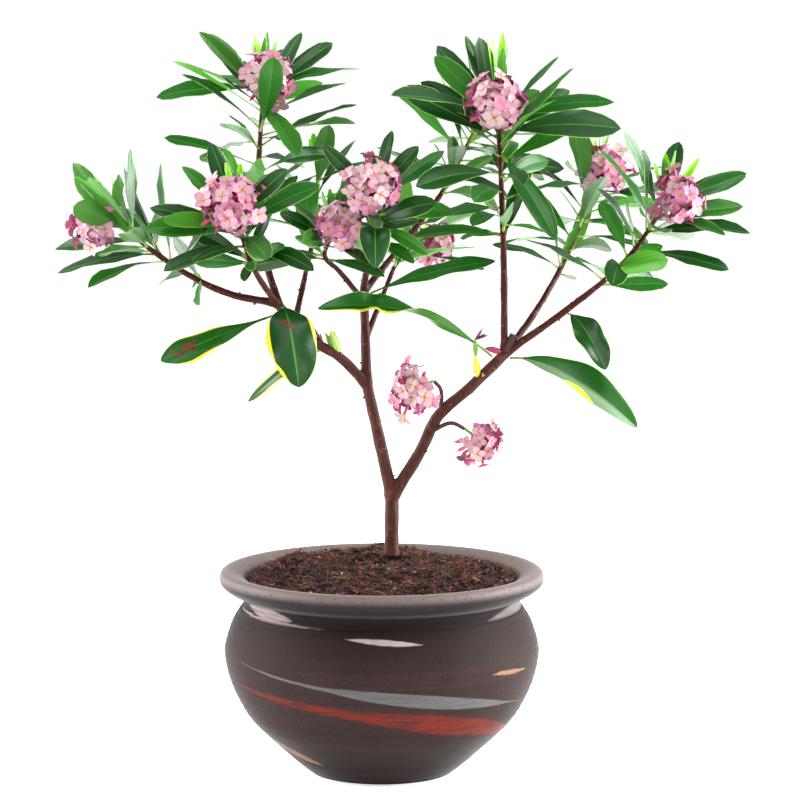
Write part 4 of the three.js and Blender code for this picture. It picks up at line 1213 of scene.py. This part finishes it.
class Blade:  # the curved face of one leaf, by shares of its length and of its half width
    def __init__(self, leaf, draw):
        self.leaf = leaf
        self.plan = leaf.get("plan", {})
        turn = leaf["outward"][0] * leafLook["turn"]
        self.twists = ((0, 1), (turn, turn + draw(*leafLook["twist"])))
        self.stations = np.array(leafLook["stations"])
        self.slim, self.point = leafLook["slim"], leafLook["point"]
        if self.plan:
            self.twists = self.plan.get("twists", loneLook["twists"])
            self.stations = np.sin(np.linspace(0, math.pi / 2, loneLook["stations"]))  # closer near the tip
            self.slim, self.point = loneLook["slim"], loneLook["point"]
        fold, self.curl, self.wave = (draw(*leafLook[key]) for key in ("fold", "curl", "wave"))
        self.fold = self.plan.get("fold", fold)
        self.waves, self.phase = draw(*leafLook["waves"]), draw(*leafLook["phase"])
        self.golden = {side: goldDepth(self.plan, self.stations, side) for side in (-1, 1)}

    def surface(self, along, column, drop):
        middle, forward, face, _ = leafFrame(self.leaf, along)
        face = turnedAbout(face, forward, np.interp(along, *self.twists)[:, None])
        side = np.cross(forward, face)
        slimTo = self.plan.get("slimTo", leafLook["slimTo"])
        half = leafHalf(self.leaf, along) * self.slim * np.clip(along / slimTo, leafLook["footSlim"], 1)
        half = half * np.clip((1 - along) / self.point, 0, 1) ** leafLook["pointPower"]
        half = np.maximum(half, np.where(along < 1, leafLook["stalkHalf"], 0))
        swell = 2 * math.pi * self.waves * along + self.phase + (column > 0) * leafLook["offbeat"]
        ripple = self.wave * column ** 2 * np.sin(swell)
        lift = self.fold * abs(column) - self.curl * column ** 4 + ripple
        height = half * bladeShare(along) * lift - drop
        return middle + side * (half * column)[:, None] + face * height[:, None]

    def points(self):  # eight lines along the upper face, four along the under one, and the tip
        even = np.ones(len(self.stations))
        left, right = (leafLook["margin"] - self.golden[side] for side in (-1, 1))
        rib, inner = leafLook["rib"] * even, leafLook["middle"]
        columns = [-even, -left, -left * inner, -rib, rib, right * inner, right, even]
        thick = mix(*leafLook["thick"], np.clip(self.stations / leafLook["thinBy"], 0, 1))
        lines = [self.surface(self.stations, column, 0) for column in columns]
        for column, part in zip(columns[2:6], leafLook["below"]):
            lines.append(self.surface(self.stations, column, thick * part))
        tip = self.surface(self.stations[-1:], np.zeros(1), 0)
        return np.concatenate([np.stack(lines, axis=1)[:-1].reshape(-1, 3), tip])

    def strips(self):  # the colour of each strip, round from the left margin
        upper, under = self.leaf["tint"], self.leaf["under"]
        # a half named by sheen takes the sheen tint, a painted reflection
        left, right = ("sheen" if self.plan.get("sheen") == side else upper for side in (-1, 1))
        return ["edge", left, left, "rib", right, right, "edge", under, under, "rib", under, under]

    def isGold(self, row, index):
        margins = {0: -1, 6: 1}
        if index not in margins:
            return False
        return self.golden[margins[index]][row:row + 2].max() > leafLook["goldFrom"]


def leafInto(heap, leaf, draw):  # a blade with a rib, a margin and an underside, closed all round
    blade = Blade(leaf, draw)
    last = len(blade.stations) - 1
    ring = (0, 1, 2, 3, 4, 5, 6, 7, 11, 10, 9, 8)
    count = len(ring)
    upperStrips = 7
    faces = []
    slots = []
    for row in range(last):
        for index, tintName in enumerate(blade.strips()):
            here, after = row * count + ring[index], row * count + ring[(index + 1) % count]
            if row + 1 == last:
                faces.append([here, after, last * count])
            elif index < upperStrips:
                faces.append([here, after, after + count, here + count])
            else:
                faces.append([after, after + count, here + count, here])
            if blade.stations[row + 1] <= leafLook["stalkEnd"]:
                tintName = "stalk"
            elif blade.isGold(row, index):
                tintName = "gold"
            slots.append(leafSlots[tintName])
    faces.append(list(reversed(ring)))
    slots.append(leafSlots["stalk"])
    heap.add(blade.points(), faces, slots)
    for blotch in blade.plan.get("blotches", ()):
        blotchInto(heap, blade, blotch, draw)


def dealt(names, pick, power):
    return names[int(pick ** power * len(names))]


def dealTints(leaf, draw):  # brighter near the tip of a shoot, deeper below
    pick = draw(0, 1)
    leaf["under"] = dealt(leafDeal["under"], draw(0, 1), leafDeal["underPower"])
    if "plan" in leaf:
        leaf["tint"] = leaf["plan"]["tint"]
        leaf["under"] = "under"
    elif leaf.get("young"):
        leaf["tint"] = "young"
        # young undersides take glow, painted light shining through
        leaf["under"] = "glow"
    elif "tint" in leaf:
        leaf["under"] = leaf["tint"]
    else:
        names = leafDeal["high" if leaf["low"] < leafDeal["lowFrom"] else "low"]
        leaf["tint"] = dealt(names, pick, leafDeal["power"])


def makeLeaves():
    draw = seeded(leafLook["seed"])
    heap = Heap()
    for leaf in sum(shootLeaves, lone):
        dealTints(leaf, draw)
        leafInto(heap, leaf, draw)
    finishes = finishSet("leaf_", leafTints, leafLook["gloss"], leafLook["shine"])
    strength, depth = leafLook["relief"]
    for finish in finishes:
        surfacePoint(finish).grain(*leafLook["grain"]).bump(strength, depth * mm)
    piece = heap.build("leaves", finishes, leafLook["smoothAngle"])
    masses = [plan["name"] + "_foliage" for plan in shoots]
    keep(piece, "foliage", *masses, *[plan["name"] for plan in loneLeaves])
    print("leaf faces:", len(piece.data.polygons))


makeLeaves()


# Blossom

# shades: each shade of flower, and the pick below which it is dealt
blossom = {"density": 0.088, "spread": 0.74, "tiltSpread": (-0.12, 0.12), "aroundSpread": (-0.25, 0.25),
           "shades": (("Pale", 0.45), ("Rose", 0.85), ("Pink", 2)), "pinkEdge": 0.25, "mouth": (0.54, 0.84),
           "proud": (0.2, 0.22), "root": 0.3, "sway": 0.5, "faceLean": 0.2, "lobe": 0.13,
           "lobeWaves": (5.1, 3.3, 6.2), "lobePhase": 3, "core": 0.52, "roughness": 0.5, "shine": 0.35,
           "smoothAngle": 40, "seed": 400}
flower = {"petals": 4, "petal": (6.4, 9.2), "sizing": (0.8, 0.2), "usualHead": 20, "pairShare": 0.9,
          "petalTurn": (-0.12, 0.12), "cup": (0.1, 0.6), "cupSpread": (-0.15, 0.15), "recurve": 0.5,
          "reach": (0.12, 0.42, 0.76, 1), "half": (0.15, 0.42, 0.33, 0), "crease": 0.45, "thick": 0.25,
          "tube": (0.7, 1), "tubeRadius": 1.35, "tubeEnds": (-0.4, 0.2), "tubeSides": 5,
          "throat": 1.3, "throatEnds": (0.1, 0.45), "throatSides": 6}
bud = {"count": 12, "length": 9, "lengthSpread": (0.7, 1.2), "lean": (0, 0.5), "tilt": (1.5, 2.5),
       "turn": 1.7, "foot": 0.35, "swell": 0.6, "radii": (0.7, 1.0, 1.5), "sides": 6,
       "tints": ("back", "tube", "tipPink"), "pick": (0, 2.999)}
petalTints = {
    "heartPale": (198, 168, 144), "facePale": (192, 163, 168), "tipPale": (187, 146, 165),
    "heartRose": (192, 153, 134), "faceRose": (188, 142, 160), "tipRose": (183, 116, 153),
    "heartPink": (190, 130, 126), "facePink": (186, 116, 151), "tipPink": (177, 84, 136),
    "back": (184, 98, 140), "tube": (182, 70, 104), "throat": (184, 100, 38), "core": (160, 62, 88),
}
petalSlots = slotsOf(petalTints)


def ballInto(heap, centre, radius, slot, rows=6, columns=9):
    points = [centre + [0, 0, radius], centre - [0, 0, radius]]
    for row in range(1, rows):
        lean = math.pi * row / rows
        for column in range(columns):
            turn = 2 * math.pi * column / columns
            spot = [math.sin(lean) * math.cos(turn), math.sin(lean) * math.sin(turn), math.cos(lean)]
            points.append(centre + np.array(spot) * radius)
    faces = []
    base = 2 + (rows - 2) * columns
    for column in range(columns):
        after = (column + 1) % columns
        faces.append([0, 2 + column, 2 + after])
        faces.append([1, base + after, base + column])
        for row in range(rows - 2):
            start = 2 + row * columns
            faces.append([start + column, start + columns + column, start + columns + after, start + after])
    heap.add(points, faces, [slot] * len(faces))


def spindleInto(heap, centres, radii, direction, sides, slot):  # rings along a straight line, with a point
    points = []
    for centre, radius in zip(centres[:-1], radii):
        points += [centre + sideways(direction, turn / sides * 2 * math.pi) * radius for turn in range(sides)]
    points.append(centres[-1])
    rows = len(radii)
    faces = [list(reversed(range(sides)))]
    for side in range(sides):
        after = (side + 1) % sides
        for row in range(rows - 1):
            low, high = row * sides, (row + 1) * sides
            faces.append([low + side, low + after, high + after, high + side])
        top = (rows - 1) * sides
        faces.append([top + side, top + after, rows * sides])
    heap.add(points, faces, [slot] * len(faces))


def petalInto(heap, mouth, direction, out, length, cup, shade):  # creased along its middle
    side = np.cross(direction, out)
    reach = np.array(flower["reach"]) * length
    half = np.array(flower["half"]) * length
    rise = cup * reach * (1 - flower["recurve"] * reach / length)
    line = mouth + np.outer(reach, out) + np.outer(rise, direction)
    crease = direction * flower["crease"]
    left = line[:3] + np.outer(half[:3], side) + crease
    right = line[:3] - np.outer(half[:3], side) + crease
    points = np.concatenate([left, line[:3], right, line[3:], line[:3] - direction * flower["thick"]])
    faces = []
    tints = []
    for row, part in enumerate(("heart", "face")):
        faces += [[row, row + 3, row + 4, row + 1], [row + 3, row + 6, row + 7, row + 4],
                  [row + 6, row + 10, row + 11, row + 7], [row + 10, row, row + 1, row + 11]]
        tints += [part + shade, part + shade, "back", "back"]
    faces += [[2, 5, 9], [5, 8, 9], [8, 12, 9], [12, 2, 9], [0, 10, 6, 3]]
    tints += ["tip" + shade, "tip" + shade, "back", "back", "back"]
    heap.add(points, faces, [petalSlots[name] for name in tints])


def flowerInto(heap, head, outward, shade, draw):
    radius = head["radius"]
    lobe = math.sin(outward @ np.array(blossom["lobeWaves"]) + radius * blossom["lobePhase"])
    lift = draw(*blossom["mouth"]) + blossom["lobe"] * lobe
    if draw(0, 1) < blossom["proud"][0]:
        lift += blossom["proud"][1]
    mouth = head["centre"] + outward * radius * lift * head.get("fuller", 1)
    sway = [draw(-blossom["sway"], blossom["sway"]) for _ in range(3)]
    direction = unit(outward + np.array(sway) + head["face"] * blossom["faceLean"])
    root = head["centre"] + outward * radius * blossom["root"]
    least, gain = flower["sizing"]
    length = draw(*flower["petal"]) * (least + gain * radius / flower["usualHead"])
    quarter = 2 * math.pi / flower["petals"]
    twist, cup = draw(0, quarter), draw(*flower["cup"])
    for petal in range(flower["petals"]):
        out = sideways(direction, twist + petal * quarter + draw(*flower["petalTurn"]))
        reach = length * (1 if petal % 2 else flower["pairShare"])
        petalInto(heap, mouth, direction, out, reach, cup + draw(*flower["cupSpread"]), shade)
    axis = unit(mouth - root)
    tube = [root] + [mouth + axis * end for end in flower["tubeEnds"]]
    tubeRadii = [flower["tubeRadius"] * part for part in flower["tube"]]
    spindleInto(heap, tube, tubeRadii, axis, flower["tubeSides"], petalSlots["tube"])
    throat = [mouth + direction * end for end in flower["throatEnds"]]
    spindleInto(heap, throat, [flower["throat"]], direction, flower["throatSides"], petalSlots["throat"])


def budInto(heap, head, outward, draw):
    length = bud["length"] * draw(*bud["lengthSpread"])
    start = head["centre"] + outward * head["radius"] * blossom["root"]
    direction = unit(outward + head["face"] * draw(*bud["lean"]))
    foot = head["radius"] * bud["foot"]
    steps = (0, foot, foot + length * bud["swell"], foot + length)
    slot = petalSlots[bud["tints"][int(draw(*bud["pick"]))]]
    centres = [start + direction * step for step in steps]
    spindleInto(heap, centres, bud["radii"], direction, bud["sides"], slot)


def makeBlossom():
    heap = Heap()
    for order, head in enumerate(plant.heads):
        draw = seeded(blossom["seed"] + order)
        count = round(blossom["density"] * head["radius"] ** 2)
        spread = head.get("spread", blossom["spread"])
        ballInto(heap, head["centre"], head["radius"] * blossom["core"], petalSlots["core"])
        for index in range(count):
            tilt = math.acos(1 - 2 * spread * (index + 0.5) / count) + draw(*blossom["tiltSpread"])
            around = sideways(head["face"], index * goldenAngle + draw(*blossom["aroundSpread"]))
            pick = draw(0, 1) + blossom["pinkEdge"] * tilt / math.pi
            shade = next(name for name, below in blossom["shades"] if pick < below)
            flowerInto(heap, head, tipped(head["face"], around, tilt), shade, draw)
        for index in range(bud["count"]):
            tilt = draw(*bud["tilt"])
            around = sideways(head["face"], index * goldenAngle * bud["turn"])
            budInto(heap, head, tipped(head["face"], around, tilt), draw)
    finishes = finishSet("petal_", petalTints, blossom["roughness"], blossom["shine"])
    piece = heap.build("blossom", finishes, blossom["smoothAngle"])
    keep(piece, "blossom", "low_blossom_left", "low_blossom_right")
    print("blossom faces:", len(piece.data.polygons))


makeBlossom()


# Twigs: stalks of the heads, the short low twigs, nubs and dried buds

twigs = {"roughness": 0.6, "smoothAngle": 50, "stalkFrom": 0.96, "stalkShare": 0.95, "stalkSides": 7,
         "lowThicker": 0.2, "lowSides": 8, "lowSteps": 13, "seed": 900}
nub = {"every": 17, "place": (0.2, 0.9), "lean": 0.3, "foot": 0.8, "radius": (0.8, 1.4), "length": (1, 2.4),
       "swell": 0.6, "taper": 0.8, "sides": 6}
dried = {"spread": (0.2, 1), "length": (0.7, 1), "steps": (0, 0.35, 0.7, 1), "swell": (0.5, 1, 0.8),
         "sides": 6}
twigTints = {"brown": (60, 26, 20), "green": (104, 148, 44), "nub": (44, 25, 23), "husk": (204, 194, 70),
             "plum": (150, 44, 84), "straw": (170, 118, 84), "leafy": (150, 190, 84)}
twigSlots = slotsOf(twigTints)
# tufts of husks and buds left on old wood: root, lean, length, radius, count, how far they open, tints
driedBuds = [
    ((-43, -11, 322), (-0.6, -0.2, 0.75), 18, 1, 10, 0.5, ("straw", "brown", "straw", "plum")),
    ((-31.5, -9, 315), (-0.35, -0.1, 1), 23, 2.7, 5, 0.2, ("leafy", "green", "leafy")),
    ((-25.5, -6, 309), (0.3, -0.2, 1), 5, 1.2, 2, 0.2, ("husk",)),
    ((71.6, -8, 298), (-0.1, -0.18, 1), 22, 2.6, 3, 0.08, ("husk",)),
    ((70.2, -12, 316), (-0.1, 0, 1), 15, 1.8, 2, 0.1, ("green",)),
    ((69.3, -12, 328), (0.75, -0.1, 0.5), 12, 0.8, 6, 0.5, ("brown", "plum", "brown")),
    ((90, -9, 318), (-1, -0.25, 0.28), 15, 2.3, 2, 0.12, ("plum",)),
    ((74.5, -9, 300), (0.4, -0.6, 0.6), 5, 0.9, 4, 0.8, ("husk", "straw")),
]
cutStub = {"from": (93, -8, 319), "to": (98.8, -9, 331), "radii": (3.9, 3.5), "sides": 12, "steps": 4}


def stalkInto(heap, line, radii, sides, slot, steps=9):
    shares = np.linspace(0, 1, steps)
    tubeInto(heap, line, shares, [mix(*radii, share) for share in shares], sides, slot)


def nubsInto(heap):
    for order, plan in enumerate(stems + shoots):
        draw = seeded(twigs["seed"] + order)
        line = plant.lines[plan["name"]]
        bareLength = line.length * plan.get("bare", 1)
        for index in range(int(bareLength / nub["every"])):
            share = (index + draw(*nub["place"])) * nub["every"] / line.length
            axis = line.heading(share)
            outward = unit(sideways(axis, index * goldenAngle + order) + axis * nub["lean"])
            foot = line.point(share) + outward * girthAt(plan, share) * nub["foot"]
            radius, length = draw(*nub["radius"]), draw(*nub["length"])
            steps = [foot, foot + outward * length * nub["swell"], foot + outward * length]
            spindleInto(heap, steps, [radius, radius * nub["taper"]], outward, nub["sides"], twigSlots["nub"])


def driedBudInto(heap, draw, root, lean, length, radius, count, spread, tints):
    lean = unit(np.array(lean, float))
    root = np.array(root, float)
    for index in range(count):
        opened = sideways(lean, index * goldenAngle) * draw(*dried["spread"]) * spread
        direction = unit(lean + opened)
        reach = length * draw(*dried["length"])
        steps = [root + direction * reach * share for share in dried["steps"]]
        radii = [radius * share for share in dried["swell"]]
        spindleInto(heap, steps, radii, direction, dried["sides"], twigSlots[tints[index % len(tints)]])


def makeTwigs():
    heap = Heap()
    for head in plant.heads:
        line = plant.lines[head["name"]]
        radius = plant.plans[head["name"]]["girth"][1] * twigs["stalkShare"]
        stalk = Line([line.point(twigs["stalkFrom"]), line.point(1), head["centre"]])
        stalkInto(heap, stalk, (radius, radius), twigs["stalkSides"], twigSlots["green"])
    for plan in lowTwigs:
        thick = [girth + twigs["lowThicker"] for girth in plan["girth"]]
        line = plant.lines[plan["name"]]
        stalkInto(heap, line, thick, twigs["lowSides"], twigSlots["brown"], twigs["lowSteps"])
    nubsInto(heap)
    draw = seeded(twigs["seed"])
    for row in driedBuds:
        driedBudInto(heap, draw, *row)
    stub = Line([cutStub["from"], cutStub["to"]])
    stalkInto(heap, stub, cutStub["radii"], cutStub["sides"], twigSlots["brown"], cutStub["steps"])
    finishes = finishSet("twig_", twigTints, twigs["roughness"])
    keep(heap.build("twigs", finishes, twigs["smoothAngle"]), "bark")


makeTwigs()
print("plant ready")
